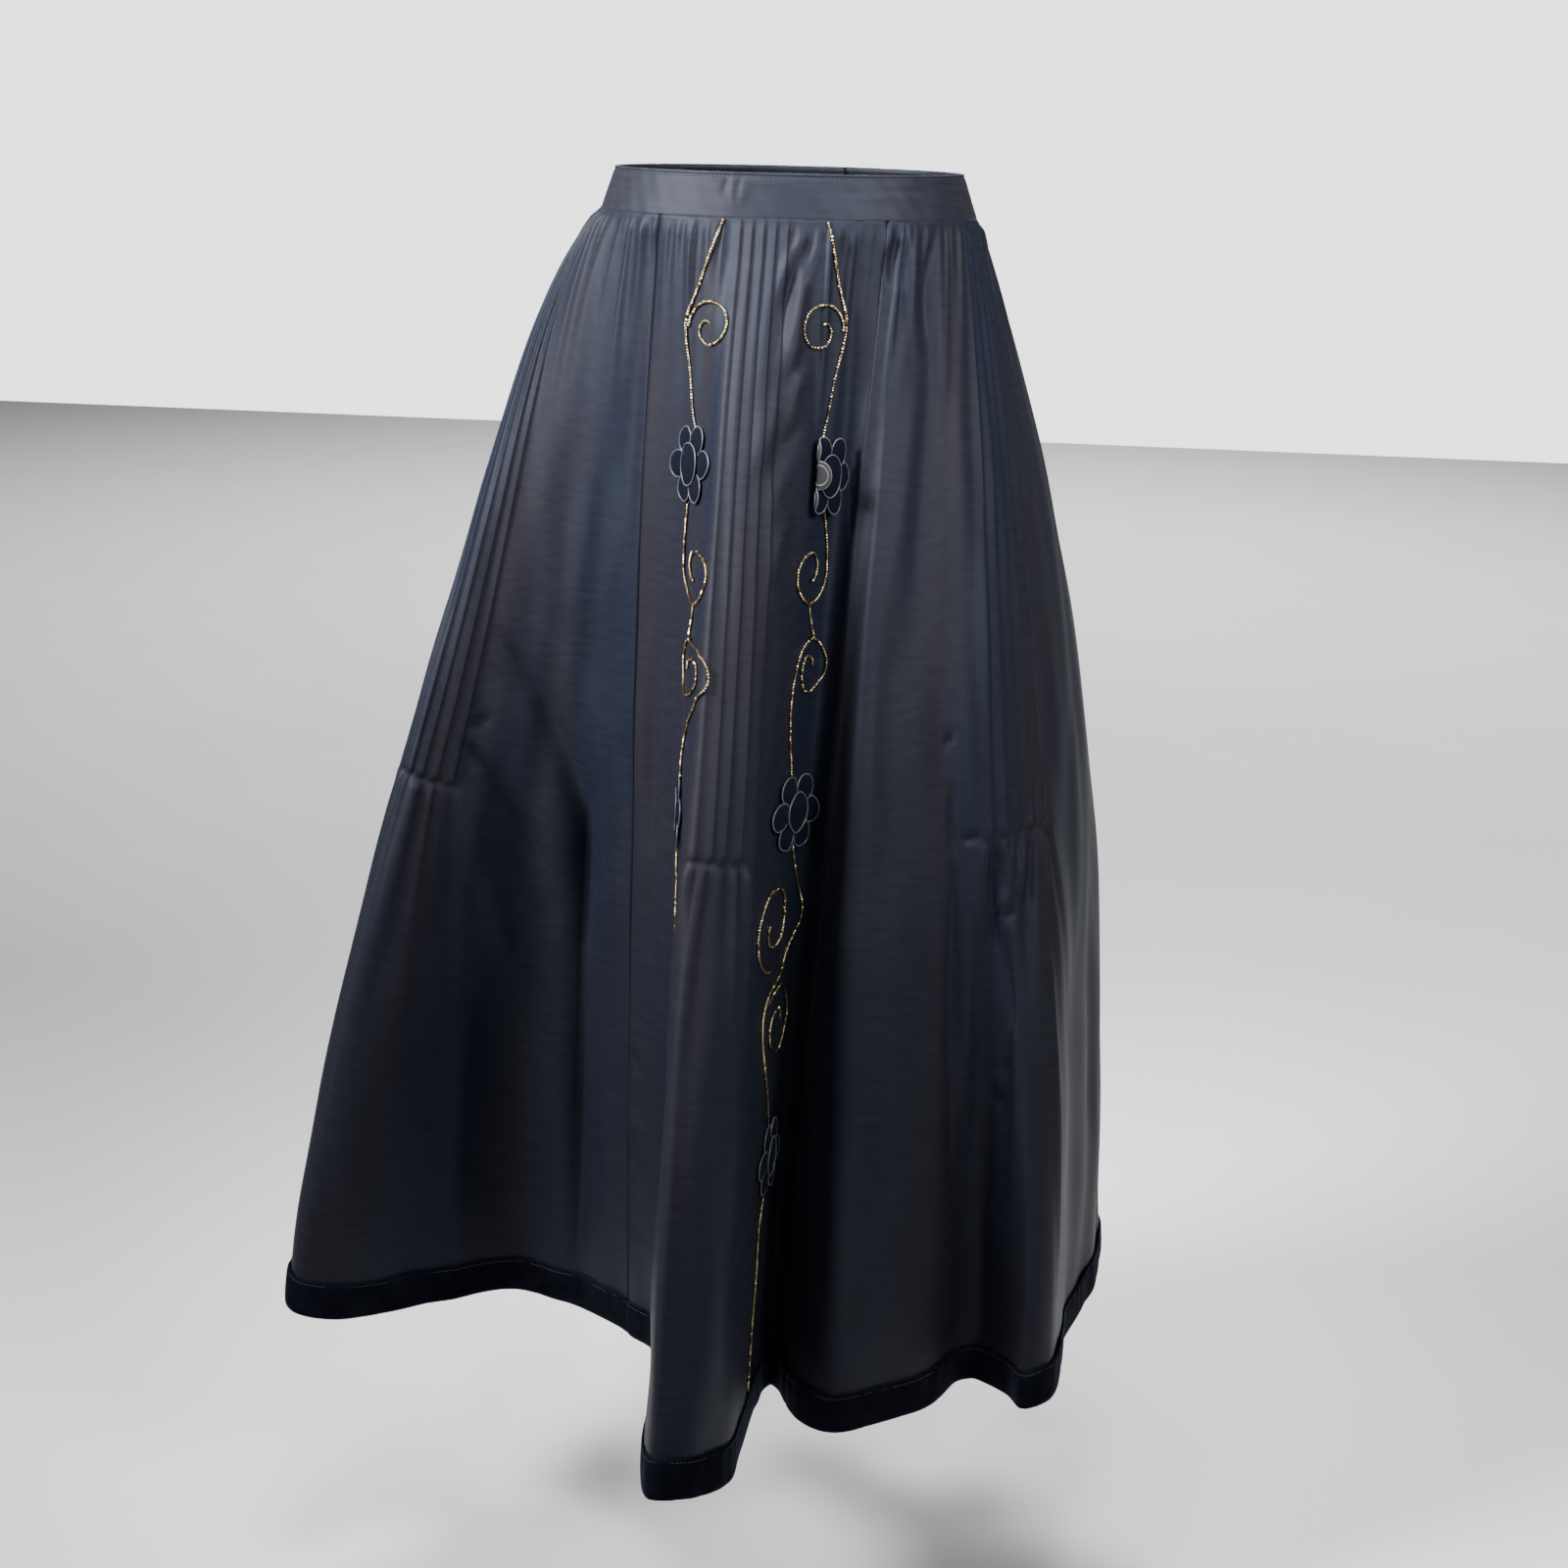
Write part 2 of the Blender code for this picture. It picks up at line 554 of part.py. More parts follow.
def add_waistband():
    """The waistband, whose right end laps over its left end at the back."""
    start = 180.0 - BAND_OVERLAP_DEG - 360.0
    columns = np.linspace(start, 180.0, BAND_COLUMNS)
    heights = np.array([BAND_HEIGHT, 0.5 * BAND_HEIGHT, SEAM_GAP])
    share = heights / BAND_HEIGHT
    half_width = WAIST_HALF_WIDTH + (BAND_TOP_HALF_WIDTH - WAIST_HALF_WIDTH) * share
    half_depth = WAIST_HALF_DEPTH + (BAND_TOP_HALF_DEPTH - WAIST_HALF_DEPTH) * share
    plan = np.stack([on_waist(columns, w, d) for w, d in zip(half_width, half_depth)])
    up = np.broadcast_to(heights[:, None, None], (*plan.shape[:2], 1))
    middle = np.concatenate([plan, up], axis=2)
    out = outward(middle)
    ramp_from = 180.0 - BAND_OVERLAP_DEG - BAND_RAMP_AHEAD_DEG
    lap = (BAND_WALL + SEAM_GAP) * smooth_step((columns - ramp_from) / BAND_RAMP_DEG)
    middle = middle + out * lap[None, :, None]
    add_wall("waistband", middle + out * BAND_WALL / 2, middle - out * BAND_WALL / 2, "waistband_taffeta")


def back_frame(walls, level):
    """The outer point of the centre back seam at a level, and the cloth's slope there."""
    columns, outer, _ = walls["left_back_gore"]
    seam = np.full(2, columns[-1] - SEAM_SIDE_DEG)
    levels = np.array([level, level + BACK_PROBE_SHARE])
    here, below = on_facets(columns, outer, seam, levels)[0]
    return here, math.atan2(below[1] - here[1], here[2] - below[2])


def add_zip_tape(walls):
    """The tape inside the centre back, from the inner points of the two back gores."""
    levels = np.linspace(ZIP_TAPE_TOP_SHARE, ZIP_LENGTH_SHARE, ZIP_TAPE_ROWS)
    degree = np.linalg.norm(on_waist(181.0) - on_waist(180.0))
    away = np.array(ZIP_TAPE_COLUMNS) * ZIP_TAPE_HALF_WIDTH / degree
    strips = []
    for name, turns in (("left_back_gore", -away), ("right_back_gore", away[::-1])):
        columns, _, inner = walls[name]
        for turn in turns:
            angle = np.full(len(levels), 180.0 + turn)
            strips.append(on_facets(columns, inner, angle, levels)[0])
    face = np.stack(strips, axis=1)
    out = outward(face)
    outer = face - out * ZIP_TAPE_GAP
    inner = outer - out * ZIP_TAPE_WALL
    add_wall("zip_tape", outer, inner, "zip_tape")


def box_object(name, size, place):
    """A box of this size around this place."""
    bpy.ops.mesh.primitive_cube_add(size=1.0)
    made = bpy.context.object
    made.name = name
    made.data.name = name
    made.data.transform(Matrix.Translation(place) @ Matrix.Diagonal((*size, 1.0)))
    return made


def add_slider(place, slope):
    """The zip's slider, with two ears that hold the pull."""
    slider = box_object("zip_slider", SLIDER_SIZE, (0.0, 0.0, 0.0))
    slider.data.materials.append(finish_material("zip_metal"))
    soften = slider.modifiers.new("rounded edges", "BEVEL")
    soften.width = SMALL_ROUND
    soften.segments = 2
    for side, letter in ((-1, "a"), (1, "b")):
        across = side * (PULL_NECK_WIDTH / 2 + SEAM_GAP + EAR_SIZE[0] / 2)
        out = SLIDER_SIZE[1] / 2 + PULL_AXIS_OUT - SEAM_GAP
        ear = box_object(f"slider_ear_{letter}", EAR_SIZE, (across, out, -SLIDER_SIZE[2] / 4))
        ear.parent = slider
        ear.hide_render = True
        ear.display_type = "WIRE"
        joined = slider.modifiers.new("ear", "BOOLEAN")
        joined.operation = "UNION"
        joined.object = ear
    slider.location = place
    slider.rotation_euler = (slope, 0.0, 0.0)
    return slider


def add_zip_runner(walls):
    """The slider at the top of the zip, and the pull that turns on it about a level axis."""
    seat, slope = back_frame(walls, SLIDER_LEVEL)
    outwards = np.array([0.0, math.cos(slope), math.sin(slope)])
    downwards = np.array([0.0, math.sin(slope), -math.cos(slope)])
    stand = np.array([0.0, seat[1], seat[2]])
    middle = stand + outwards * (SLIDER_SIZE[1] / 2 + 2 * SEAM_GAP)
    add_slider(middle, slope)
    axis = middle + outwards * (SLIDER_SIZE[1] / 2 + PULL_AXIS_OUT) + downwards * SLIDER_SIZE[2] / 4
    add_pull(axis, slope)


def add_pull(axis, slope):
    """A drop-shaped pull, whose origin is on its turning axis."""
    steps = PULL_OUTLINE_STEPS
    angle = 2 * math.pi * np.arange(steps) / steps
    share = 0.5 - 0.5 * np.cos(angle)
    width = PULL_NECK_WIDTH + (PULL_WIDTH - PULL_NECK_WIDTH) * share
    across = width / 2 * np.sign(np.sin(angle)) * np.abs(np.sin(angle)) ** PULL_ROUNDNESS
    along = PULL_ABOVE_AXIS - PULL_LENGTH * share
    points = []
    for y in (PULL_WALL / 2, -PULL_WALL / 2):
        points += [(x, y, z) for x, z in zip(across, along)]
    faces = [tuple(range(steps)), tuple(reversed(range(steps, 2 * steps)))]
    for k in range(steps):
        m = (k + 1) % steps
        faces.append((m, k, k + steps, m + steps))
    pull = add_object("zip_pull", points, faces, "zip_metal")
    pull.location = axis
    pull.rotation_euler = (slope, 0.0, 0.0)


def add_button():
    """A flat button with two holes, sewn on the lap of the waistband."""
    a = math.radians(180.0 - BUTTON_BEFORE_BACK_DEG)
    half_width = (WAIST_HALF_WIDTH + BAND_TOP_HALF_WIDTH) / 2
    half_depth = (WAIST_HALF_DEPTH + BAND_TOP_HALF_DEPTH) / 2
    lean = math.atan2(WAIST_HALF_DEPTH - BAND_TOP_HALF_DEPTH, BAND_HEIGHT)
    way = np.array([math.sin(a) / half_width, -math.cos(a) / half_depth, 0.0])
    way = way / np.linalg.norm(way)
    out = BAND_WALL * 1.5 + SEAM_GAP * 3 + BUTTON_WALL / 2
    middle = np.array([half_width * math.sin(a), -half_depth * math.cos(a), BAND_HEIGHT / 2])
    bpy.ops.mesh.primitive_cylinder_add(vertices=28, radius=BUTTON_RADIUS, depth=BUTTON_WALL)
    button = bpy.context.object
    button.name = "waist_button"
    button.data.name = "waist_button"
    button.data.materials.append(finish_material("button"))
    button.location = middle + way * out
    button.rotation_euler = (math.pi / 2 - lean, 0.0, math.atan2(way[1], way[0]) + math.pi / 2)
    soften = button.modifiers.new("rounded rim", "BEVEL")
    soften.width = SMALL_ROUND
    soften.segments = 2
    soften.limit_method = "ANGLE"
    for side, letter in ((-1, "a"), (1, "b")):
        through = 4 * BUTTON_WALL
        bpy.ops.mesh.primitive_cylinder_add(vertices=10, radius=BUTTON_HOLE_RADIUS, depth=through)
        drill = bpy.context.object
        drill.name = f"button_drill_{letter}"
        drill.parent = button
        drill.location = (side * BUTTON_HOLE_OUT, 0.0, 0.0)
        drill.hide_render = True
        drill.display_type = "WIRE"
        hole = button.modifiers.new("thread hole", "BOOLEAN")
        hole.operation = "DIFFERENCE"
        hole.object = drill
    button.data.shade_smooth()


def add_flowers(walls):
    """Three velvet flowers on each vine of the front gore."""
    columns, outer, _ = walls["front_gore"]
    for row in rows_of(FLOWER_NAMES, FLOWERS):
        add_flower(row["flower"], row["waist_deg"], row["level"], columns, outer)


def main():
    for old in list(bpy.data.objects):
        bpy.data.objects.remove(old, do_unlink=True)
    walls, ring = add_gores()
    add_waistband()
    add_ribbon(ring)
    add_flowers(walls)
    add_zip_tape(walls)
    add_zip_runner(walls)
    add_button()


main()
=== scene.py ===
# %% [markdown]
# # A long taffeta skirt with velvet flowers
# The skirt is five gores sewn to a narrow waistband. It is shown filled out, as it is worn.
# The solids of the skirt are loaded first. They fix every size and place, so each piece made
# here lies on them.

# %% Load the solids
import math

import bpy
import numpy as np
from mathutils import Matrix, Vector


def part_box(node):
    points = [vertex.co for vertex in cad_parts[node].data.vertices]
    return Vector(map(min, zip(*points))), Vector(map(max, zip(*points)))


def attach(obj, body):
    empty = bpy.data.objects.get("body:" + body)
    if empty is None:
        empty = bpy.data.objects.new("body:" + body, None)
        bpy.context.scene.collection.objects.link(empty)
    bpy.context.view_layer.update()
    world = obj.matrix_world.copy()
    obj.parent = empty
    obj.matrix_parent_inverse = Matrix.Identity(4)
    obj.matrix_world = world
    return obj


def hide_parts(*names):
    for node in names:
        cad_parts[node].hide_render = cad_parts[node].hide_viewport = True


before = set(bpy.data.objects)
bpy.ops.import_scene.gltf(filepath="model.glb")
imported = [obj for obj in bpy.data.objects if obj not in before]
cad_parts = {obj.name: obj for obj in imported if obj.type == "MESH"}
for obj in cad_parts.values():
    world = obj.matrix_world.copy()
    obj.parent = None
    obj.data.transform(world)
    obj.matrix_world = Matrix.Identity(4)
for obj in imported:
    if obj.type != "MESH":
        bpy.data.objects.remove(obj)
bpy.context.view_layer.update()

# %% [markdown]
# ## Camera
# The photo was taken from a little above the waist, about two metres away, looking down by
# fifteen degrees and leaning a little. The camera is set up first, because every look at the
# work depends on it. Its three axes are worked out from those angles and written as a matrix.

# %% Camera at the photo's place
EYE = Vector((0.2446, -1.9346, 0.0915))
HEADING_DEG = 7.0
PITCH_DEG = 14.85
LEAN_DEG = 1.4
LENS_MM = 60.86


def camera_axes():
    """The camera's right, up and backward directions."""
    heading, pitch, lean = (math.radians(d) for d in (HEADING_DEG, PITCH_DEG, LEAN_DEG))
    forward = Vector((
        -math.sin(heading) * math.cos(pitch),
        math.cos(heading) * math.cos(pitch),
        -math.sin(pitch),
    ))
    level_right = forward.cross(Vector((0, 0, 1))).normalized()
    level_down = forward.cross(level_right)
    right = level_right * math.cos(lean) - level_down * math.sin(lean)
    down = level_right * math.sin(lean) + level_down * math.cos(lean)
    return right, -down, -forward


bpy.ops.object.camera_add(location=EYE)
camera = bpy.context.object
camera.name = "photo_camera"
camera.data.lens = LENS_MM
camera.data.sensor_width = 36.0
camera.data.clip_end = 50.0
right, up, backward = camera_axes()
camera.matrix_world = Matrix.Translation(EYE) @ Matrix((right, up, backward)).transposed().to_4x4()
bpy.context.scene.camera = camera
print("camera at", [round(v, 3) for v in EYE])

# %% [markdown]
# ## The form of the cloth
# A skirt hangs from its waist in folds. Each row of the table is one place on them, a ridge, a
# valley or a slope between two: where its cloth leaves the waist, where it arrives at the hem,
# how far out it hangs there, how early it swings out, where the fold begins, how it swells over
# the hip, and how much longer it hangs.
# One could push a tube of cloth about by hand, or drop it over a body with a simulation. Here the
# folds in front are known from the photo, and those behind are of the same kind, so a table keeps
# each one where it should be. The cloth between two rows is a smooth curve, and the solids were
# made from the same rows.

# %% Table of the folds
WAIST_HALF_WIDTH = 0.1345
WAIST_HALF_DEPTH = 0.1000
CLOTH_LENGTH = 0.868
ENVELOPE_SPREAD_DEG = 15.0
HIP_LEVEL = 0.12

FOLD_COLUMNS = ("waist_deg", "hem_deg", "hem_reach", "swing", "starts", "hip", "longer")
FOLDS = (
    (-9.0, -5.2, 0.336, 1.30, 0.03, 0.000, 0.010),
    (-2.0, -1.5, 0.322, 1.30, 0.03, 0.000, 0.010),
    (6.0, 2.5, 0.284, 1.30, 0.03, 0.000, 0.009),
    (13.0, 3.5, 0.220, 1.35, 0.03, 0.000, 0.004),
    (19.0, 4.8, 0.165, 1.40, 0.02, 0.000, 0.000),
    (24.5, 7.0, 0.131, 1.60, 0.00, 0.000, 0.000),
    (29.0, 10.5, 0.116, 1.60, 0.00, 0.000, 0.000),
    (33.5, 14.2, 0.132, 1.60, 0.00, 0.000, 0.000),
    (38.5, 16.0, 0.180, 1.60, 0.00, 0.000, 0.000),
    (45.0, 22.0, 0.212, 1.70, 0.00, 0.000, 0.000),
    (53.0, 34.0, 0.204, 1.90, 0.10, 0.000, 0.000),
    (60.0, 47.0, 0.198, 2.20, 0.30, 0.000, 0.000),
    (65.0, 57.5, 0.189, 2.40, 0.45, 0.000, 0.000),
    (69.0, 62.5, 0.200, 2.40, 0.50, 0.000, 0.000),
    (73.5, 60.0, 0.234, 2.40, 0.50, 0.000, 0.000),
    (78.0, 56.0, 0.260, 2.40, 0.50, 0.000, 0.000),
    (84.0, 60.0, 0.267, 2.50, 0.45, 0.000, 0.000),
    (94.0, 82.0, 0.240, 2.80, 0.40, 0.000, 0.000),
    (103.0, 98.0, 0.256, 3.00, 0.30, 0.000, 0.000),
    (111.0, 109.0, 0.279, 3.00, 0.20, 0.000, 0.000),
    (122.0, 122.0, 0.300, 2.20, 0.15, 0.004, 0.000),
    (134.0, 136.0, 0.236, 1.90, 0.15, 0.006, 0.000),
    (147.0, 149.0, 0.318, 1.60, 0.12, 0.008, 0.000),
    (162.0, 163.0, 0.248, 1.50, 0.28, 0.008, 0.000),
    (180.0, 180.0, 0.308, 1.45, 0.30, 0.008, 0.000),
    (198.0, 196.0, 0.252, 1.45, 0.28, 0.008, 0.000),
    (213.0, 211.0, 0.324, 1.45, 0.12, 0.010, 0.000),
    (226.0, 225.0, 0.252, 1.45, 0.15, 0.010, 0.000),
    (238.0, 238.0, 0.326, 1.45, 0.18, 0.012, 0.000),
    (250.0, 252.0, 0.282, 1.45, 0.20, 0.014, 0.000),
    (259.5, 268.0, 0.336, 1.45, 0.10, 0.014, 0.000),
    (266.5, 282.0, 0.365, 1.45, 0.05, 0.014, 0.000),
    (271.0, 288.0, 0.374, 1.45, 0.03, 0.014, 0.004),
    (275.5, 290.0, 0.366, 1.45, 0.03, 0.014, 0.006),
    (281.5, 289.0, 0.342, 1.45, 0.05, 0.013, 0.007),
    (289.0, 284.5, 0.300, 1.45, 0.15, 0.012, 0.005),
    (297.0, 278.5, 0.252, 1.50, 0.25, 0.009, 0.000),
    (306.0, 270.5, 0.197, 1.60, 0.33, 0.006, 0.000),
    (313.0, 275.0, 0.152, 1.70, 0.33, 0.003, 0.000),
    (323.0, 294.0, 0.112, 1.80, 0.20, 0.000, 0.000),
    (331.0, 313.0, 0.104, 1.80, 0.05, 0.000, 0.000),
    (338.0, 335.0, 0.124, 1.70, 0.03, 0.000, 0.000),
    (345.0, 347.0, 0.222, 1.45, 0.03, 0.000, 0.006),
)
print("rows in the table of folds:", len(FOLDS))

# %% Smooth curves, directions and lengths
def unit(ways):
    """The same directions, each with a length of one."""
    return ways / np.linalg.norm(ways, axis=-1, keepdims=True)


def run_along(points):
    """How far along a path each of its points lies."""
    return np.concatenate([[0.0], np.cumsum(np.linalg.norm(np.diff(points, axis=0), axis=1))])


def smooth_step(x):
    """0 up to 0 and 1 from 1 on, with an even change between."""
    x = np.clip(x, 0.0, 1.0)
    return x * x * (3 - 2 * x)


def smooth_through(at, places, values):
    """A smooth curve through the values that never overshoots a ridge or a valley."""
    step = np.diff(places)
    slope = np.diff(values) / step
    same_way = slope[:-1] * slope[1:] > 0
    weight_a = 2 * step[1:] + step[:-1]
    weight_b = step[1:] + 2 * step[:-1]
    safe_a = np.where(same_way, slope[:-1], 1.0)
    safe_b = np.where(same_way, slope[1:], 1.0)
    mean = (weight_a + weight_b) / (weight_a / safe_a + weight_b / safe_b)
    tangent = np.zeros(len(values))
    tangent[1:-1] = np.where(same_way, mean, 0.0)
    i = np.clip(np.searchsorted(places, at, side="right") - 1, 0, len(step) - 1)
    h = step[i]
    x = (at - places[i]) / h
    rise = 3 * x**2 - 2 * x**3
    return (
        values[i] * (1 - rise)
        + values[i + 1] * rise
        + h * tangent[i] * x * (1 - x) ** 2
        - h * tangent[i + 1] * x**2 * (1 - x)
    )


print("half way up a smooth step:", float(smooth_step(0.5)))


# %% The smooth form between the rows
def fold_value(wanted, waist_deg):
    """A column of the table of folds, at any angle round the waist."""
    table = np.array(FOLDS)
    places = table[:, 0]
    values = table[:, FOLD_COLUMNS.index(wanted)]
    turn = 360.0 if wanted == "hem_deg" else 0.0
    places = np.concatenate([places - 360, places, places + 360])
    values = np.concatenate([values - turn, values, values + turn])
    return smooth_through(np.asarray(waist_deg, float), places, values)


def on_waist(waist_deg):
    """The point of the waist ellipse at this angle, seen from above."""
    a = np.radians(waist_deg)
    return np.stack([WAIST_HALF_WIDTH * np.sin(a), -WAIST_HALF_DEPTH * np.cos(a)], axis=-1)


def on_hem(waist_deg):
    """Where the cloth of this waist angle arrives at the hem, seen from above."""
    a = np.radians(fold_value("hem_deg", waist_deg))
    reach = fold_value("hem_reach", waist_deg)[..., None]
    return reach * np.stack([np.sin(a), -np.cos(a)], axis=-1)


def on_envelope(waist_deg):
    """The hem with its folds smoothed away, which the upper skirt follows."""
    offsets = np.linspace(-2.0, 2.0, 33) * ENVELOPE_SPREAD_DEG
    weights = np.exp(-0.5 * (offsets / ENVELOPE_SPREAD_DEG) ** 2)
    weights = weights / weights.sum()
    spread = on_hem(waist_deg[:, None] + offsets)
    return (spread * weights[None, :, None]).sum(axis=1)


def form_of_cloth(waist_deg, level):
    """The middle of the cloth at every level and angle. Each thread keeps its length."""
    waist = on_waist(waist_deg)
    envelope = on_envelope(waist_deg)
    starts = fold_value("starts", waist_deg)
    level = level[:, None]
    out = 1 - (1 - level) ** fold_value("swing", waist_deg)
    fold = np.clip((level - starts) / (1 - starts), 0, 1)
    hip = fold_value("hip", waist_deg) * level / HIP_LEVEL * np.exp(1 - level / HIP_LEVEL)
    plan = (
        waist
        + (envelope - waist) * out[..., None]
        + (on_hem(waist_deg) - envelope) * fold[..., None]
        + unit(waist) * hip[..., None]
    )
    across = np.linalg.norm(np.diff(plan, axis=0), axis=2)
    length = CLOTH_LENGTH + fold_value("longer", waist_deg)
    drop = np.sqrt((length * np.diff(level, axis=0)) ** 2 - across**2)
    height = np.concatenate([np.zeros((1, len(waist_deg))), -np.cumsum(drop, axis=0)])
    return np.concatenate([plan, height[..., None]], axis=2)


print("columns of the table:", ", ".join(FOLD_COLUMNS))

# %% [markdown]
# A fine map of the form is worked out once: the place, the way out and the width of one degree,
# every quarter degree round the waist and at 161 levels. All pieces look their places up in it,
# so the flowers, the cord and the ribbon lie on the cloth wherever it goes.

# %% A fine map of the form
MAP_FIRST_DEG = -36.0
MAP_STEP_DEG = 0.25
MAP_LEVELS = 160
map_deg = np.arange(MAP_FIRST_DEG, MAP_FIRST_DEG + 360 + MAP_STEP_DEG / 2, MAP_STEP_DEG)
map_level = np.linspace(0.0, 1.0, MAP_LEVELS + 1)
map_place = form_of_cloth(map_deg, map_level)


def map_directions():
    """The way out of the cloth and the metres per degree, all over the map."""
    closed = np.concatenate([map_place[:, -2:-1], map_place, map_place[:, 1:2]], axis=1)
    across = (closed[:, 2:] - closed[:, :-2]) / (2 * MAP_STEP_DEG)
    down = np.gradient(map_place, map_level, axis=0)
    return unit(np.cross(across, -down)), np.linalg.norm(across, axis=2)


map_out, map_width = map_directions()


def from_map(grid, deg, level):
    """Values of a map at any angles and levels."""
    deg, level = np.broadcast_arrays(np.asarray(deg, float), np.asarray(level, float))
    x = (deg - MAP_FIRST_DEG) % 360.0 / MAP_STEP_DEG
    y = np.clip(level, 0.0, 1.0) * MAP_LEVELS
    j = np.minimum(x.astype(int), len(map_deg) - 2)
    i = np.minimum(y.astype(int), MAP_LEVELS - 1)
    x, y = x - j, y - i
    if grid.ndim == 3:
        x, y = x[..., None], y[..., None]
    top = grid[i, j] * (1 - x) + grid[i, j + 1] * x
    low = grid[i + 1, j] * (1 - x) + grid[i + 1, j + 1] * x
    return top * (1 - y) + low * y


# %% [markdown]
# ## Tucks, gathers and creases
# Three kinds of small relief lie on the form. Pintucks are narrow stitched folds down the middle
# of each gore, let go half way down, where their cloth springs out in small puckers. Gathers puff
# out under the waistband. Creases are placed one by one: each row says where it begins and ends,
# how it bows, and how wide and how deep it is. A minus is a trough, a plus is a ridge.

# %% Tucks and their release
# Each gore: its name, the angles of its two seams, and the middle of its tucks
GORES = (
    ("front_gore", -36.0, 36.0, -2.5),
    ("left_side_gore", 36.0, 112.0, 76.5),
    ("left_back_gore", 112.0, 180.0, 147.0),
    ("right_back_gore", 180.0, 248.0, 213.0),
    ("right_side_gore", 248.0, 324.0, 279.5),
)
TUCKS = 5
TUCK_PITCH_DEG = 3.5
TUCK_EDGE = 0.84
TUCK_HEIGHT = 0.0017
TUCK_END = 0.503
TUCK_SWAY_DEG = 0.35
TUCK_STOP = 0.006
TUCK_PRESSED = 0.3
RELEASE_HEIGHT = 0.0038
RELEASE_FADE = 0.10
RELEASE_SPREAD = 3.5
STOP_LINE_DEPTH = 0.0013
STOP_LINE_HALF = 0.0030


def turned_to(deg, middle_deg):
    """Angles measured from a middle, between -180 and 180."""
    return (deg - middle_deg + 180.0) % 360.0 - 180.0


def tuck_relief(deg, level):
    """Flat stitched folds, each with a sharp edge, and the puckers where they are let go."""
    total = np.zeros(np.broadcast(deg, level).shape)
    held = 1 - smooth_step((level - TUCK_END) / TUCK_STOP + 0.5)
    held = held * (TUCK_PRESSED + (1 - TUCK_PRESSED) * smooth_step(level / 0.010))
    below = np.clip(level - TUCK_END, 0, 1)
    for _, _, _, middle_deg in GORES:
        sway = TUCK_SWAY_DEG * np.sin(11.0 * level + 0.05 * middle_deg) * smooth_step(level / 0.1)
        t = (turned_to(deg, middle_deg) + sway) / TUCK_PITCH_DEG + TUCKS / 2
        inside = (t > 0) & (t < TUCKS)
        x = t % 1.0
        saw = np.where(x < TUCK_EDGE, x / TUCK_EDGE, (1 - x) / (1 - TUCK_EDGE))
        total = total + np.where(inside, TUCK_HEIGHT * saw * held, 0.0)
        u = (t - TUCKS / 2) / (1 + RELEASE_SPREAD * below)
        near = smooth_step((TUCKS / 2 + 0.9 - np.abs(u)) / 1.2)
        wave = 0.5 - 0.5 * np.cos(2 * math.pi * (u + 0.5 + 0.18 * np.sin(2.3 * u + middle_deg)))
        uneven = 0.75 + 0.45 * np.sin(1.9 * np.round(u) + 0.7 * middle_deg)
        opens = smooth_step(below / 0.012) * np.exp(-below / (RELEASE_FADE * (0.7 + 0.3 * uneven)))
        total = total + RELEASE_HEIGHT * near * wave * uneven * opens
        line = np.exp(-(((level - TUCK_END) / STOP_LINE_HALF) ** 2))
        line = line * smooth_step((TUCKS / 2 - np.abs(u)) / 0.3)
        total = total - STOP_LINE_DEPTH * line * (0.5 + 0.5 * np.cos(2 * math.pi * (t + 0.15)))
    return total


print("tucks:", TUCKS * len(GORES))

# %% Gathers under the waistband
GATHER_STEP_DEG = 3.3
GATHER_DEPTH = 0.0027


def gather_rows():
    """Angle, width, depth, reach and slant of each gather, uneven from one to the next."""
    rows = []
    for _, from_deg, to_deg, middle_deg in GORES:
        half = TUCKS * TUCK_PITCH_DEG / 2
        for start, end in ((from_deg, middle_deg - half), (middle_deg + half, to_deg)):
            count = max(2, round((end - start) / GATHER_STEP_DEG))
            for k in range(count):
                seed = 2.4 * k + 0.31 * start
                place = start + (end - start) * (k + 0.5 + 0.28 * math.sin(seed)) / count
                width = 0.95 + 0.40 * math.sin(1.7 * seed + 1.0)
                depth = GATHER_DEPTH * (0.75 + 0.45 * math.sin(2.9 * seed))
                reach = 0.13 + 0.09 * math.sin(1.3 * seed + 2.0)
                slant = 9.0 * math.sin(0.9 * seed)
                rows.append((place, width, depth, reach, slant))
    return rows


def gather_relief(deg, level):
    """Small pleats that begin at the seam and die out down the skirt."""
    total = np.zeros(np.broadcast(deg, level).shape)
    top = smooth_step(level / 0.014)
    for place, width, depth, reach, slant in gather_rows():
        x = turned_to(deg, place + slant * level) / (width * (1 + 1.6 * level / reach))
        fade = 1 - smooth_step(level / reach)
        total = total + depth * np.exp(-x * x) * fade * top
    from_back = np.abs(turned_to(deg, 180.0))
    return total * smooth_step((from_back - 5.0) / 8.0)


print("gathers:", len(gather_rows()))
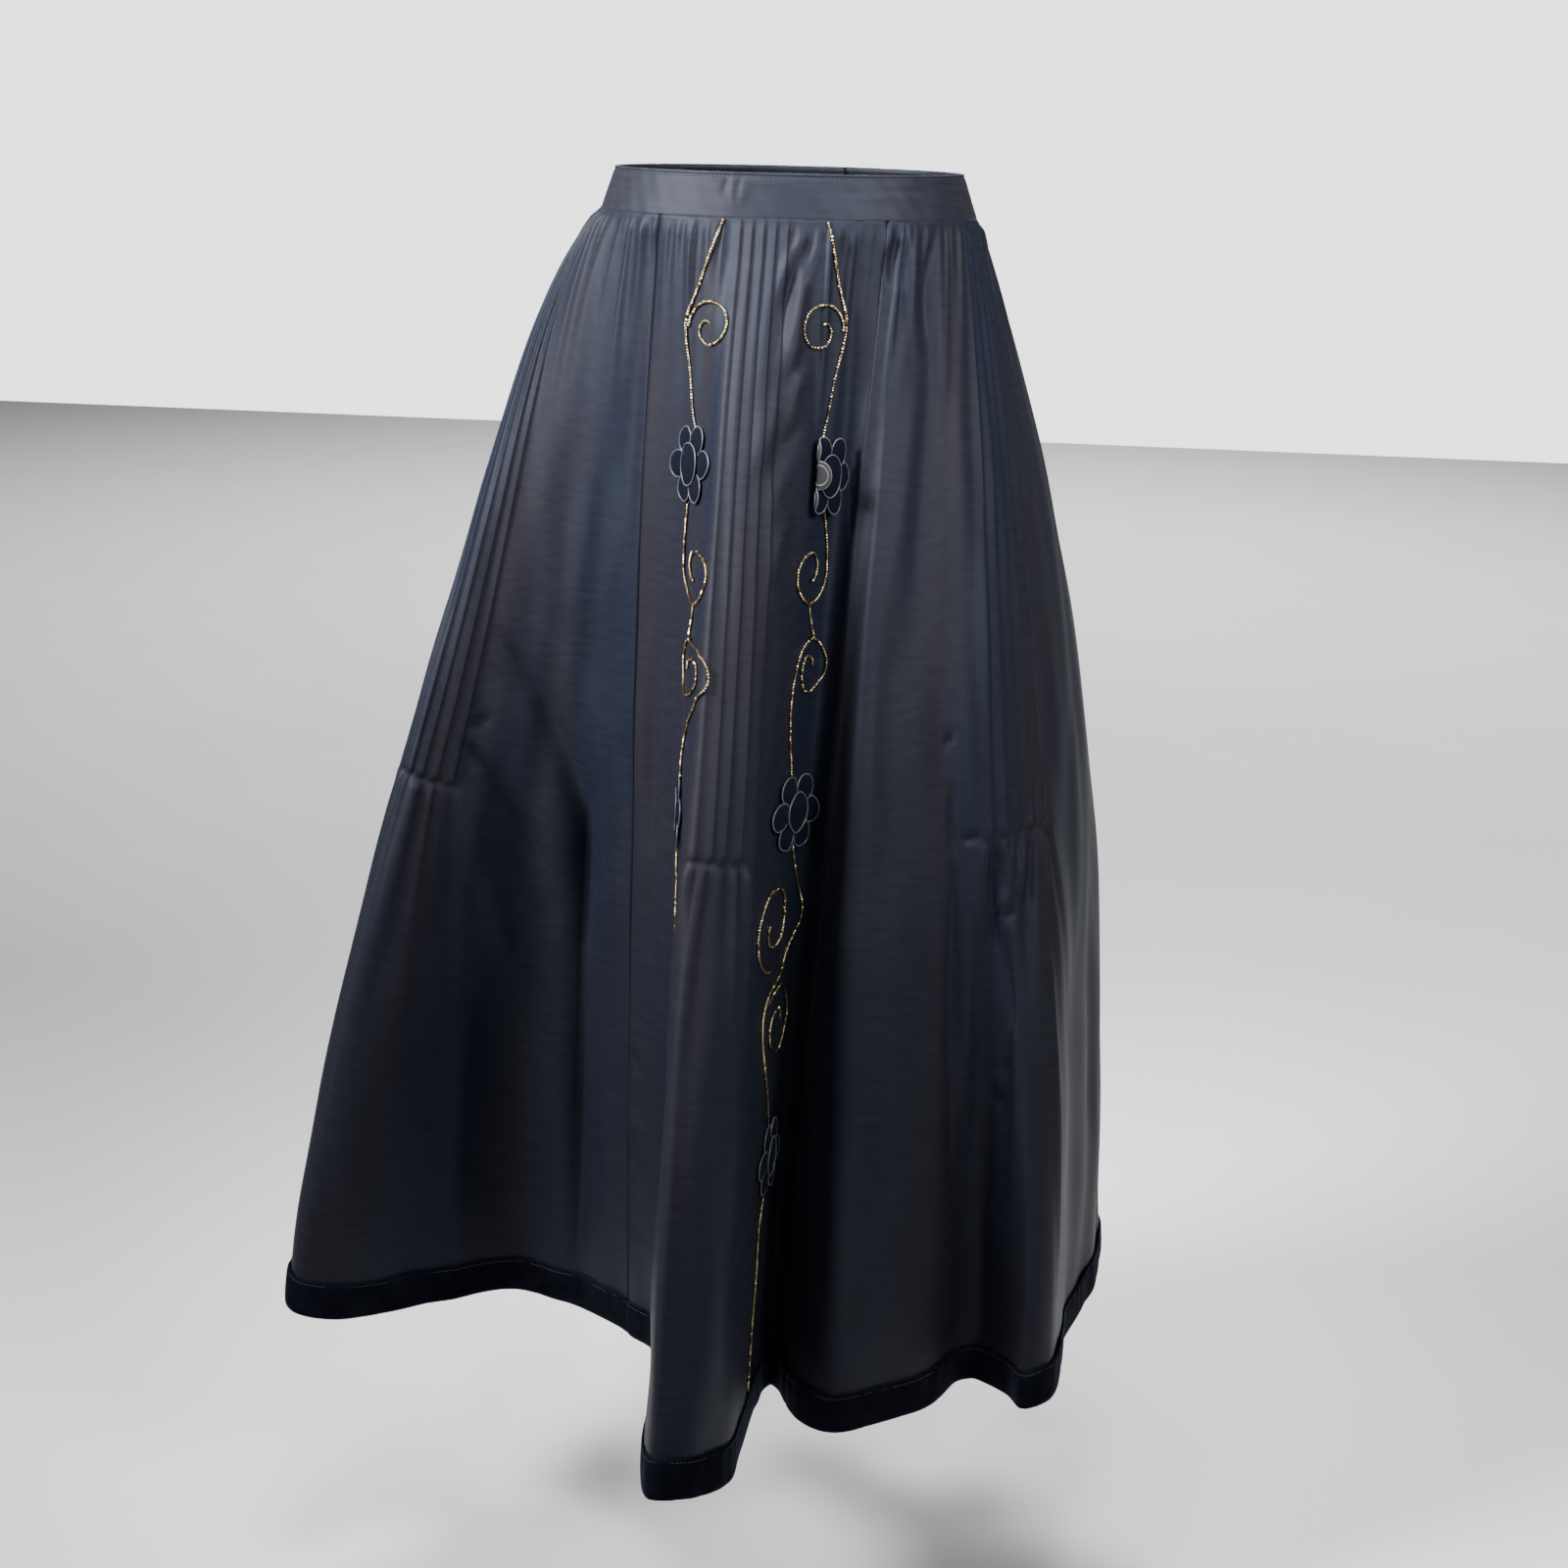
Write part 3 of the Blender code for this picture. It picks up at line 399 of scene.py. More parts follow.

# %% Creases placed one by one
# From which angle and level, to which angle and level, bow, width and depth in millimetres
CREASES = (
    # right side, as in the photo
    (289.5, 0.360, 313.6, 0.650, -40, 9, -8.0),
    (312.6, 0.500, 313.9, 0.960, 0, 11, -8.0),
    (313.2, 0.480, 314.0, 0.970, 0, 4.5, -6.0),
    (290.0, 0.405, 307.5, 0.610, -24, 17, 3.5),
    (295.0, 0.345, 317.5, 0.560, -36, 14, 2.2),
    (317.0, 0.430, 319.0, 0.900, 0, 13, 2.6),
    (287.0, 0.463, 308.0, 0.590, -12, 7, -6.0),
    (292.0, 0.492, 309.0, 0.640, -10, 13, -3.0),
    (287.0, 0.496, 302.0, 0.665, -6, 10, 3.0),
    (287.3, 0.457, 293.5, 0.437, 1, 4, -2.2),
    (290.5, 0.560, 294.0, 0.700, 3, 9, -2.4),
    (299.0, 0.700, 303.0, 0.930, 0, 22, -3.0),
    (296.0, 0.720, 297.5, 0.950, 0, 12, 2.5),
    (318.5, 0.060, 321.0, 0.300, 0, 9, -1.6),
    (312.0, 0.040, 309.0, 0.330, 0, 11, 1.4),
    (325.0, 0.720, 327.6, 0.742, 1, 5, -2.6),
    (324.8, 0.775, 327.0, 0.800, 1, 5, 2.2),
    (325.0, 0.815, 328.2, 0.842, 1, 6, -2.8),
    (325.2, 0.875, 327.4, 0.905, 1, 5, -2.2),
    # front
    (329.0, 0.330, 330.0, 0.660, 3, 7, -3.8),
    (334.8, 0.300, 334.9, 0.640, 0, 4, 1.8),
    (15.5, 0.115, 0.5, 0.200, 7, 9, 3.0),
    (14.0, 0.155, 3.0, 0.226, 5, 8, -2.6),
    (12.5, 0.225, 6.0, 0.290, 3, 7, 2.2),
    (9.0, 0.300, 5.5, 0.500, 0, 9, -1.8),
    (11.5, 0.045, 10.0, 0.140, 2, 6, 1.8),
    (339.5, 0.050, 341.5, 0.300, 2, 8, 1.3),
    (343.0, 0.640, 349.0, 0.900, 4, 16, 2.4),
    (352.0, 0.740, 356.0, 0.930, 3, 14, -2.2),
    (0.0, 0.560, -1.5, 0.800, 3, 12, 1.8),
    (13.5, 0.012, 4.0, 0.110, 4, 5, -2.6),
    (15.8, 0.016, 6.5, 0.140, 4, 6, 2.6),
    (10.0, 0.012, 3.5, 0.070, 3, 4, 2.2),
    (12.5, 0.100, 6.0, 0.190, 5, 6, -2.6),
    (351.6, 0.150, 350.8, 0.950, 0, 6, 3.2),
    (335.5, 0.300, 332.5, 0.930, 0, 12, -4.5),
    # left side, as in the photo
    (30.0, 0.080, 29.6, 0.950, 0, 13, -5.0),
    (36.6, 0.040, 35.2, 0.950, 0, 6, 3.6),
    (69.5, 0.540, 68.5, 0.930, 3, 13, -4.5),
    (74.6, 0.540, 74.3, 0.950, 0, 6, 3.0),
    (84.3, 0.600, 87.5, 0.930, 2, 7, 2.6),
    (71.2, 0.505, 70.6, 0.562, 1, 3.5, -4.2),
    (73.4, 0.504, 73.4, 0.560, 1, 3.5, -4.4),
    (77.4, 0.504, 75.6, 0.560, 1, 3.5, -4.2),
    (81.0, 0.504, 79.4, 0.575, 1, 4, -4.4),
    (69.6, 0.552, 74.6, 0.675, -4, 5, -6.0),
    (70.8, 0.566, 76.0, 0.566, 3, 5, -3.6),
    (73.6, 0.640, 73.4, 0.800, 1, 5, -3.4),
    (69.8, 0.722, 72.2, 0.742, 1, 5, -2.6),
    (71.6, 0.698, 73.0, 0.712, 0, 4, -2.2),
    (75.0, 0.512, 75.2, 0.556, 0, 5, 3.0),
    (79.2, 0.512, 78.4, 0.556, 0, 5, 2.8),
    (40.0, 0.012, 43.0, 0.055, 5, 6, -2.8),
    (46.0, 0.010, 50.0, 0.110, 3, 6, 2.8),
    (54.0, 0.010, 52.0, 0.095, 3, 5, -2.2),
    (57.0, 0.012, 60.0, 0.150, 2, 7, 2.0),
    (42.3, 0.110, 44.0, 0.920, 5, 7, 2.6),
    (48.5, 0.250, 49.5, 0.620, 3, 14, -1.8),
    (48.0, 0.720, 53.5, 0.900, 5, 20, -3.6),
    (60.3, 0.414, 62.6, 0.420, 1, 4, -2.8),
    (61.9, 0.448, 62.3, 0.518, 1, 3, -1.8),
    (62.2, 0.515, 63.0, 0.820, 2, 6, -4.2),
    (65.8, 0.520, 66.8, 0.780, 3, 5, 2.2),
    (64.0, 0.503, 68.2, 0.497, 2, 4, -2.4),
    (77.8, 0.760, 82.3, 0.960, 3, 7, 2.0),
    (88.0, 0.350, 91.5, 0.560, 4, 12, -2.0),
    (99.0, 0.420, 95.5, 0.640, 6, 15, 2.4),
    (102.0, 0.560, 106.0, 0.860, 5, 17, -3.0),
    # back, of the same kind
    (117.0, 0.140, 123.0, 0.420, 6, 12, 2.4),
    (126.0, 0.330, 121.0, 0.620, 7, 15, -3.2),
    (137.5, 0.500, 131.0, 0.570, 4, 8, -3.0),
    (134.5, 0.540, 138.0, 0.840, 5, 14, 2.8),
    (156.5, 0.495, 162.5, 0.540, 4, 7, -2.8),
    (157.0, 0.520, 161.0, 0.800, 6, 13, -3.4),
    (168.0, 0.260, 171.5, 0.560, 4, 13, 2.0),
    (176.0, 0.560, 172.0, 0.860, 5, 16, -2.6),
    (186.5, 0.300, 190.0, 0.540, 4, 12, -2.2),
    (188.0, 0.600, 184.0, 0.900, 6, 16, 2.6),
    (203.0, 0.500, 197.0, 0.548, 4, 8, -3.0),
    (198.0, 0.540, 201.0, 0.820, 5, 14, -3.0),
    (223.0, 0.498, 229.0, 0.560, 4, 8, -3.0),
    (224.0, 0.540, 227.5, 0.830, 5, 14, 3.0),
    (236.0, 0.220, 240.5, 0.480, 5, 12, 2.2),
    (243.0, 0.420, 238.0, 0.700, 6, 15, -3.2),
    (254.0, 0.300, 257.0, 0.560, 5, 12, -2.4),
    (260.0, 0.520, 256.0, 0.840, 6, 16, 3.0),
    (268.5, 0.500, 262.0, 0.560, 4, 8, -2.8),
)


def crease_relief(deg, level):
    """Soft troughs and ridges, each across its own bowed line, fading out at both ends."""
    total = np.zeros(np.broadcast(deg, level).shape)
    for from_deg, from_level, to_deg, to_level, bow, width, depth in CREASES:
        middle_deg = (from_deg + to_deg) / 2
        middle_level = (from_level + to_level) / 2
        per_degree = float(from_map(map_width, middle_deg, middle_level))
        x = turned_to(deg, middle_deg) * per_degree
        y = (level - middle_level) * CLOTH_LENGTH
        run = ((to_deg - from_deg) * per_degree, (to_level - from_level) * CLOTH_LENGTH)
        half = np.array(run) / 2
        side = np.array([-half[1], half[0]]) / np.linalg.norm(half)
        share = np.clip((x * half[0] + y * half[1]) / (half @ half), -1.2, 1.2)
        across = x * side[0] + y * side[1] - bow / 1000.0 * (1 - share**2)
        taper = np.clip(1 - np.abs(share) ** 2.5, 0, 1)
        reach = width / 1000.0 * (0.45 + 0.55 * taper)
        total = total + depth / 1000.0 * np.exp(-((across / reach) ** 2)) * taper
    return total


print("creases:", len(CREASES))

# %% All the relief together
SEAM_DIP = 0.0009
SEAM_WIDTH = 0.0016
RIPPLE_HEIGHT = 0.0005


def seam_relief(deg, level):
    """The cloth turns in where two gores are sewn together."""
    total = np.zeros(np.broadcast(deg, level).shape)
    per_degree = from_map(map_width, deg, level)
    for _, from_deg, _, _ in GORES:
        away = turned_to(deg, from_deg) * per_degree
        total = total - SEAM_DIP * np.exp(-((away / SEAM_WIDTH) ** 2))
    return total


def ripple_relief(deg, level):
    """Slight unevenness of crisp cloth, from a few crossing waves."""
    a = np.radians(deg)
    waves = (
        np.sin(23 * a + 9.0 * level + 1.3 * np.sin(7 * a))
        + np.sin(41 * a - 14.0 * level + 2.1 * np.sin(5 * a + 11 * level))
        + 0.8 * np.sin(17 * a + 31.0 * level + 1.7 * np.sin(9 * a - 8 * level))
    )
    return RIPPLE_HEIGHT * waves * smooth_step(level / 0.10) * (0.5 + 0.9 * level)


def relief(deg, level):
    """How far the cloth stands off its smooth form, in metres."""
    deg, level = np.broadcast_arrays(np.asarray(deg, float), np.asarray(level, float))
    return (
        tuck_relief(deg, level)
        + gather_relief(deg, level)
        + crease_relief(deg, level) * smooth_step((0.985 - level) / 0.05)
        + seam_relief(deg, level)
        + ripple_relief(deg, level)
    )


# The outer face lies half a wall of the solids outside the middle of the cloth
FACE = 0.0009


def on_cloth(deg, level, above=0.0):
    """Places on the outer face of the skirt, or this far above it."""
    off = (FACE + relief(deg, level) + above)[..., None]
    return from_map(map_place, deg, level) + unit(from_map(map_out, deg, level)) * off


print("middle front at half length:", np.round(on_cloth(0.0, 0.5), 3))

# %% [markdown]
# ## Shot taffeta
# Taffeta is a crisp plain weave, and here the threads of the two directions differ in colour, so
# the cloth turns from blue grey to brown grey. Its ribs are a fine wave on the piece's own UV
# map, which is laid out in metres, and its thicker threads are a stretched noise. Long soft
# streaks mix the two colours, and a faint sheen stands for the light that fine threads catch at
# a grazing angle.

# %% Helpers for materials
def new_material(name):
    """A node material with a Principled shader. Returns it, its shader, its nodes and its links."""
    material = bpy.data.materials.new(name)
    material.use_nodes = True
    nodes, links = material.node_tree.nodes, material.node_tree.links
    return material, nodes["Principled BSDF"], nodes, links


def pattern(nodes, links, kind, scale, source="UV", stretch=(1, 1, 1), **settings):
    """A texture node with its own coordinates and mapping. Returns the texture."""
    place = nodes.new("ShaderNodeTexCoord")
    mapping = nodes.new("ShaderNodeMapping")
    mapping.inputs["Scale"].default_value = stretch
    texture = nodes.new(kind)
    texture.inputs["Scale"].default_value = scale
    for name, value in settings.items():
        if hasattr(texture, name):
            setattr(texture, name, value)
        else:
            texture.inputs[name.replace("_", " ").title()].default_value = value
    links.new(place.outputs[source], mapping.inputs["Vector"])
    links.new(mapping.outputs["Vector"], texture.inputs["Vector"])
    return texture


def ramp(nodes, links, source, stops):
    """A colour ramp between the given stops. Returns its colour output."""
    node = nodes.new("ShaderNodeValToRGB")
    elements = node.color_ramp.elements
    while len(elements) < len(stops):
        elements.new(0.5)
    for element, (place, colour) in zip(elements, stops):
        element.position = place
        element.color = (*colour, 1.0)
    links.new(source, node.inputs["Fac"])
    return node.outputs["Color"]


def raise_by(height, nodes, links, shader, strength, distance):
    """Lets a pattern raise the surface a little, by a bump."""
    bump = nodes.new("ShaderNodeBump")
    bump.inputs["Strength"].default_value = strength
    bump.inputs["Distance"].default_value = distance
    links.new(height, bump.inputs["Height"])
    links.new(bump.outputs["Normal"], shader.inputs["Normal"])


def set_values(shader, values):
    """Writes plain values on the shader's own sockets."""
    for socket, value in values.items():
        shader.inputs[socket].default_value = value


def two_tone(name, kind, scale, stops, values, **settings):
    """A plain finish: one pattern that mixes two colours, and plain values for the rest."""
    material, shader, nodes, links = new_material(name)
    texture = pattern(nodes, links, kind, scale, **settings)
    links.new(ramp(nodes, links, texture.outputs["Fac"], stops), shader.inputs["Base Color"])
    set_values(shader, values)
    return material


def grey(value):
    return (value, value, value)


print("helpers for materials ready")

# %% Taffeta
WEAVE_HEIGHT = 0.00006


def taffeta(name, blue, brown):
    """Cloth shot with two colours: streaks, thicker threads and fine ribs."""
    material, shader, nodes, links = new_material(name)
    streaks = pattern(nodes, links, "ShaderNodeTexNoise", 9.0, stretch=(1.0, 0.16, 1.0), Detail=3.0)
    colour = ramp(nodes, links, streaks.outputs["Fac"], ((0.38, blue), (0.68, brown)))
    slubs = pattern(nodes, links, "ShaderNodeTexNoise", 260.0, stretch=(0.12, 1.0, 1.0), Detail=2.0)
    shade = ramp(nodes, links, slubs.outputs["Fac"], ((0.30, grey(0.80)), (0.70, grey(1.12))))
    mixed = nodes.new("ShaderNodeMix")
    mixed.data_type = "RGBA"
    mixed.blend_type = "MULTIPLY"
    mixed.inputs["Factor"].default_value = 1.0
    links.new(colour, mixed.inputs[6])
    links.new(shade, mixed.inputs[7])
    links.new(mixed.outputs[2], shader.inputs["Base Color"])
    gloss = ramp(nodes, links, streaks.outputs["Fac"], ((0.30, grey(0.48)), (0.70, grey(0.60))))
    links.new(gloss, shader.inputs["Roughness"])
    ribs = pattern(nodes, links, "ShaderNodeTexWave", 700.0, bands_direction="Y", Distortion=1.5)
    raise_by(ribs.outputs["Fac"], nodes, links, shader, 0.5, WEAVE_HEIGHT)
    set_values(shader, {
        "Sheen Weight": 0.012,
        "Sheen Roughness": 0.35,
        "Sheen Tint": (0.62, 0.70, 0.86, 1.0),
        "Specular IOR Level": 0.11,
        "Specular Tint": (0.84, 0.89, 1.0, 1.0),
    })
    return material


TAFFETA = taffeta("shot_taffeta", (0.0062, 0.0080, 0.0152), (0.0095, 0.0088, 0.0126))
# The waistband's taffeta is the skirt's cloth painted lighter, as painted light on the band, which
# faces the lamps
LIT_BAND_TAFFETA = taffeta("waistband_taffeta", (0.0086, 0.0100, 0.0165), (0.0112, 0.0106, 0.0140))
print("taffeta:", TAFFETA.name, LIT_BAND_TAFFETA.name)

# %% [markdown]
# ## The gores
# Each gore is one panel of cloth, wider at the hem than at the waist. It could be cut flat and
# simulated, but its folds are known, so a grid primitive is bent into place: every corner of the
# grid goes to its place on the form, with more columns in the tucks, whose edges are sharp. Then
# Solidify gives the panel its thickness.

# %% Helpers for pieces
def nothing_selected():
    if bpy.context.object and bpy.context.object.mode != "OBJECT":
        bpy.ops.object.mode_set(mode="OBJECT")
    bpy.ops.object.select_all(action="DESELECT")


def select_only(pieces):
    """Selects these pieces alone and makes the first of them the active one."""
    nothing_selected()
    for piece in pieces:
        piece.select_set(True)
    bpy.context.view_layer.objects.active = pieces[0]


def joined(parts, name):
    """All the parts as one piece."""
    select_only(parts)
    bpy.ops.object.join()
    piece = bpy.context.object
    piece.name = name
    return piece


def bent_grid(name, places, material, uv, closed=False):
    """A grid primitive whose corners are moved to rows of places, from the bottom up.

    Where closed is true, edges that meet are merged into a round piece without a seam.
    """
    rows, columns = places.shape[:2]
    nothing_selected()
    bpy.ops.mesh.primitive_grid_add(x_subdivisions=columns - 1, y_subdivisions=rows - 1, size=1.0)
    piece = bpy.context.object
    piece.name = name
    mesh = piece.data
    mesh.name = name
    mesh.vertices.foreach_set("co", np.ascontiguousarray(places, np.float32).ravel())
    corner = np.empty(len(mesh.loops), np.int32)
    mesh.loops.foreach_get("vertex_index", corner)
    corner_uv = np.ascontiguousarray(uv.reshape(-1, 2)[corner], np.float32)
    mesh.uv_layers[0].data.foreach_set("uv", corner_uv.ravel())
    mesh.update()
    if closed:
        bpy.ops.object.mode_set(mode="EDIT")
        bpy.ops.mesh.select_all(action="SELECT")
        bpy.ops.mesh.remove_doubles(threshold=1e-6)
        bpy.ops.object.mode_set(mode="OBJECT")
    mesh.materials.append(material)
    bpy.ops.object.shade_smooth()
    return piece


def thickened(piece, thickness):
    """Gives a sheet its thickness, inwards."""
    select_only([piece])
    wall = piece.modifiers.new("thickness", "SOLIDIFY")
    wall.thickness = thickness
    wall.offset = -1.0
    bpy.ops.object.modifier_apply(modifier=wall.name)
    return piece


def triangles(piece):
    return sum(len(face.vertices) - 2 for face in piece.data.polygons)


print("helpers for pieces ready")

# %% Columns and rows of a gore
GORE_ROWS = 205
# Where a tuck has its columns, closest at its sharp edge
TUCK_MARKS = (0.0, 0.22, 0.44, 0.64, 0.80, 0.84, 0.92)
PLAIN_STEP = 0.0042
HEM_COUNTS = 0.5
WAIST_COUNTS = 1.6


def plain_columns(from_deg, to_deg):
    """Angles between two places, spread by the width of the cloth at waist and hem together."""
    fine = np.linspace(from_deg, to_deg, 300)
    hem = np.linalg.norm(np.diff(from_map(map_place, fine, 1.0), axis=0), axis=1)
    waist = np.linalg.norm(np.diff(from_map(map_place, fine, 0.0), axis=0), axis=1)
    run = np.concatenate([[0.0], np.cumsum(HEM_COUNTS * hem + WAIST_COUNTS * waist)])
    count = max(4, round(run[-1] / PLAIN_STEP))
    return np.interp(np.linspace(0, run[-1], count + 1), run, fine)


def gore_angles(from_deg, to_deg, middle_deg):
    """The columns of a gore, with seven in each tuck."""
    first = middle_deg - TUCKS * TUCK_PITCH_DEG / 2
    tucks = [first + TUCK_PITCH_DEG * (k + mark) for k in range(TUCKS) for mark in TUCK_MARKS]
    last = first + TUCKS * TUCK_PITCH_DEG
    before = plain_columns(from_deg, first)[:-1]
    after = plain_columns(last, to_deg)
    return np.concatenate([before, tucks, after])


def gore_levels():
    """Rows from the hem up, closer together near the waist and at the release of the tucks."""
    fine = np.linspace(0.0, 1.0, 2000)
    close = 1 + 1.2 * np.exp(-fine / 0.06) + 1.6 * np.exp(-(((fine - TUCK_END) / 0.02) ** 2))
    run = np.cumsum(close)
    return np.interp(np.linspace(run[0], run[-1], GORE_ROWS), run, fine)[::-1]


levels = gore_levels()[:, None]
print("rows of a gore:", levels.size)

# %% The five gores
TOP_RISE = 0.0004
CLOTH_THICKNESS = 0.0009

for name, from_deg, to_deg, middle_deg in GORES:
    angles = gore_angles(from_deg, to_deg, middle_deg)[None, :]
    places = on_cloth(angles, levels)
    places[-1, :, 2] += TOP_RISE
    along_hem = run_along(places[0])
    uv = np.stack(np.broadcast_arrays(along_hem[None, :], -levels * CLOTH_LENGTH), axis=-1)
    piece = thickened(bent_grid(name + "_cloth", places, TAFFETA, uv), CLOTH_THICKNESS)
    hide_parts(name)
    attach(piece, "skirt")

# %% [markdown]
# ## The waistband
# The waistband is a double strip of taffeta, curved to the waist and lapped at the back. It is
# modelled like the gores, from its own ellipse. Small puckers and faint draglines are placed one
# by one, those in front as in the photo. A line of topstitching presses a groove under the top
# edge.

# %% The form of the waistband
BAND_HEIGHT = 0.0310
BAND_TOP_HALF_WIDTH = 0.1240
BAND_TOP_HALF_DEPTH = 0.0920
BAND_WALL = 0.0022
BAND_OVERLAP_DEG = 14.0
BAND_START_DEG = 180.0 - BAND_OVERLAP_DEG - 360.0
BAND_RAMP_AHEAD_DEG = 20.0
BAND_RAMP_DEG = 18.0
SEAM_GAP = 0.0003
TOPSTITCH_SHARE = 0.90
TOPSTITCH_GROOVE = 0.0006
BAND_RIPPLE = 0.00022

# Puckers: angle, height share, half width in degrees, half height share, slant, depth in mm
PUCKERS = (
    (-14.5, 0.72, 0.9, 0.18, 2.0, -1.0),
    (-12.0, 0.55, 1.0, 0.22, -2.5, 0.9),
    (-10.2, 0.74, 0.8, 0.15, 2.0, -0.8),
    (-8.6, 0.50, 1.3, 0.20, 3.0, 0.6),
    (26.0, 0.60, 9.0, 0.05, 0.0, -0.5),
    (33.0, 0.48, 8.0, 0.04, 0.0, 0.5),
    (46.0, 0.66, 10.0, 0.05, 0.0, -0.5),
    (52.0, 0.30, 6.0, 0.07, 0.0, -0.4),
    (88.0, 0.55, 1.2, 0.30, 3.0, -0.6),
    (-62.0, 0.50, 5.0, 0.10, 1.0, 0.5),
    (-95.0, 0.60, 1.2, 0.28, -3.0, -0.6),
    (128.0, 0.50, 7.0, 0.06, 0.0, -0.5),
    (-140.0, 0.55, 6.0, 0.07, 0.0, 0.5),
)


def on_band(deg, share, above=0.0):
    """Places on the outer face of the waistband. share is 0 at its seam and 1 at its top."""
    deg, share = np.broadcast_arrays(np.asarray(deg, float), np.asarray(share, float))
    height = SEAM_GAP + (BAND_HEIGHT - SEAM_GAP) * share
    lean = height / BAND_HEIGHT
    half_width = WAIST_HALF_WIDTH + (BAND_TOP_HALF_WIDTH - WAIST_HALF_WIDTH) * lean
    half_depth = WAIST_HALF_DEPTH + (BAND_TOP_HALF_DEPTH - WAIST_HALF_DEPTH) * lean
    a = np.radians(deg)
    way = np.stack([np.sin(a) / half_width, -np.cos(a) / half_depth, np.zeros(a.shape)], axis=-1)
    ramp_from = 180.0 - BAND_OVERLAP_DEG - BAND_RAMP_AHEAD_DEG
    off = BAND_WALL / 2 + (BAND_WALL + SEAM_GAP) * smooth_step((deg - ramp_from) / BAND_RAMP_DEG)
    off = off + above
    off = off - TOPSTITCH_GROOVE * np.exp(-(((share - TOPSTITCH_SHARE) / 0.030) ** 2))
    for place, middle, half_deg, half_share, slant, depth in PUCKERS:
        x = (deg - place - slant * (share - middle)) / half_deg
        y = (share - middle) / half_share
        off = off + depth / 1000.0 * np.exp(-x * x - y * y)
    off = off + BAND_RIPPLE * np.sin(a * 37 + 3 * share) * np.sin(a * 11 + 5 * share)
    place = np.stack([half_width * np.sin(a), -half_depth * np.cos(a), height], axis=-1)
    return place + unit(way) * off[..., None]


print("waistband at the middle front:", np.round(on_band(0.0, 0.5), 3))

# %% Waistband
BAND_COLUMNS = 520
BAND_PER_DEG = 0.0021
BAND_SHEET = BAND_WALL * 0.92
BAND_EDGE_TURN = 0.0007


def band_sheet():
    """The outer face of the waistband, with closer rows where the topstitching presses it in."""
    deg = np.linspace(BAND_START_DEG, 180.0, BAND_COLUMNS)[None, :]
    share = np.concatenate([np.linspace(0.0, 0.86, 16), np.linspace(0.88, 0.985, 8)])[:, None]
    uv = np.stack(np.broadcast_arrays(deg * BAND_PER_DEG, share * BAND_HEIGHT), axis=-1)
    # Its taffeta is painted lighter than the skirt's, as painted light
    return bent_grid("waistband_cloth", on_band(deg, share), LIT_BAND_TAFFETA, uv)


waistband = thickened(band_sheet(), BAND_SHEET)
edge = waistband.modifiers.new("turned edge", "BEVEL")
edge.width = BAND_EDGE_TURN
edge.segments = 2
edge.limit_method = "ANGLE"
edge.angle_limit = math.radians(50)
bpy.ops.object.modifier_apply(modifier=edge.name)
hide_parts("waistband")
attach(waistband, "skirt")
print("waistband triangles", triangles(waistband))

# %% [markdown]
# ## Velvet
# Velvet is cut pile. It drinks light seen head on and shows a soft rim where the pile is seen
# from the side, so its base is almost black, it hardly shines, and a bluish sheen stands for the
# rim. Fine noise moves the bump and the depth of colour, as where the pile is pressed down.

# %% Velvet
PILE_HEIGHT = 0.00025


def velvet(name, dark, light, sheen):
    """Pile that is nearly black, with a faint blue rim."""
    material, shader, nodes, links = new_material(name)
    nap = pattern(nodes, links, "ShaderNodeTexNoise", 55.0, Detail=4.0)
    colour = ramp(nodes, links, nap.outputs["Fac"], ((0.35, dark), (0.70, light)))
    links.new(colour, shader.inputs["Base Color"])
    pile = pattern(nodes, links, "ShaderNodeTexNoise", 1500.0, Detail=2.0)
    raise_by(pile.outputs["Fac"], nodes, links, shader, 0.6, PILE_HEIGHT)
    set_values(shader, {
        "Roughness": 0.92,
        "Specular IOR Level": 0.03,
        "Sheen Weight": sheen,
        "Sheen Roughness": 0.30,
        "Sheen Tint": (0.30, 0.38, 0.62, 1.0),
    })
    return material


RIBBON_VELVET = velvet("ribbon_velvet", (0.0018, 0.0020, 0.0042), (0.0040, 0.0046, 0.0090), 0.06)
FLOWER_VELVET = velvet("flower_velvet", (0.0022, 0.0028, 0.0060), (0.0048, 0.0058, 0.0115), 0.035)
print("velvets:", RIBBON_VELVET.name, FLOWER_VELVET.name)

# %% [markdown]
# ## The hem ribbon
# A velvet ribbon is sewn flat over the hem. It is one long grid round the skirt, lifted off the
# cloth by a little more than its own thickness. It swells between its two woven edges, and
# puckers along the upper one, where the stitches draw it in.

# %% Hem ribbon
RIBBON_TOP = 0.967
RIBBON_WIDTH = 0.0286
RIBBON_ROWS = 9
RIBBON_LIFT = 0.0004
RIBBON_THICKNESS = 0.0008
RIBBON_COLUMNS = 1150
RIBBON_CROWN = 0.0007
RIBBON_PUCKER = 0.0004


def ribbon_places():
    """The ribbon's grid of places and its UV map, in metres."""
    run = run_along(map_place[-1])
    along = np.linspace(0, run[-1], RIBBON_COLUMNS)
    deg = np.interp(along, run, map_deg)[None, :]
    share = np.linspace(0.0, 1.0, RIBBON_ROWS)[:, None]
    level = 1.0 - (1.0 - RIBBON_TOP) * share
    crown = RIBBON_CROWN * np.clip(np.sin(math.pi * share), 0, 1) ** 0.4
    pucker = RIBBON_PUCKER * np.sin(along * 410 + 2 * np.sin(along * 37))[None, :] * share
    bumps = np.maximum(relief(deg, level), 0)
    off = FACE + bumps + RIBBON_LIFT + RIBBON_THICKNESS + crown + pucker
    places = from_map(map_place, deg, level) + from_map(map_out, deg, level) * off[..., None]
    places[:, -1] = places[:, 0]
    uv = np.stack(np.broadcast_arrays(along[None, :], share * RIBBON_WIDTH), axis=-1)
    return places, uv


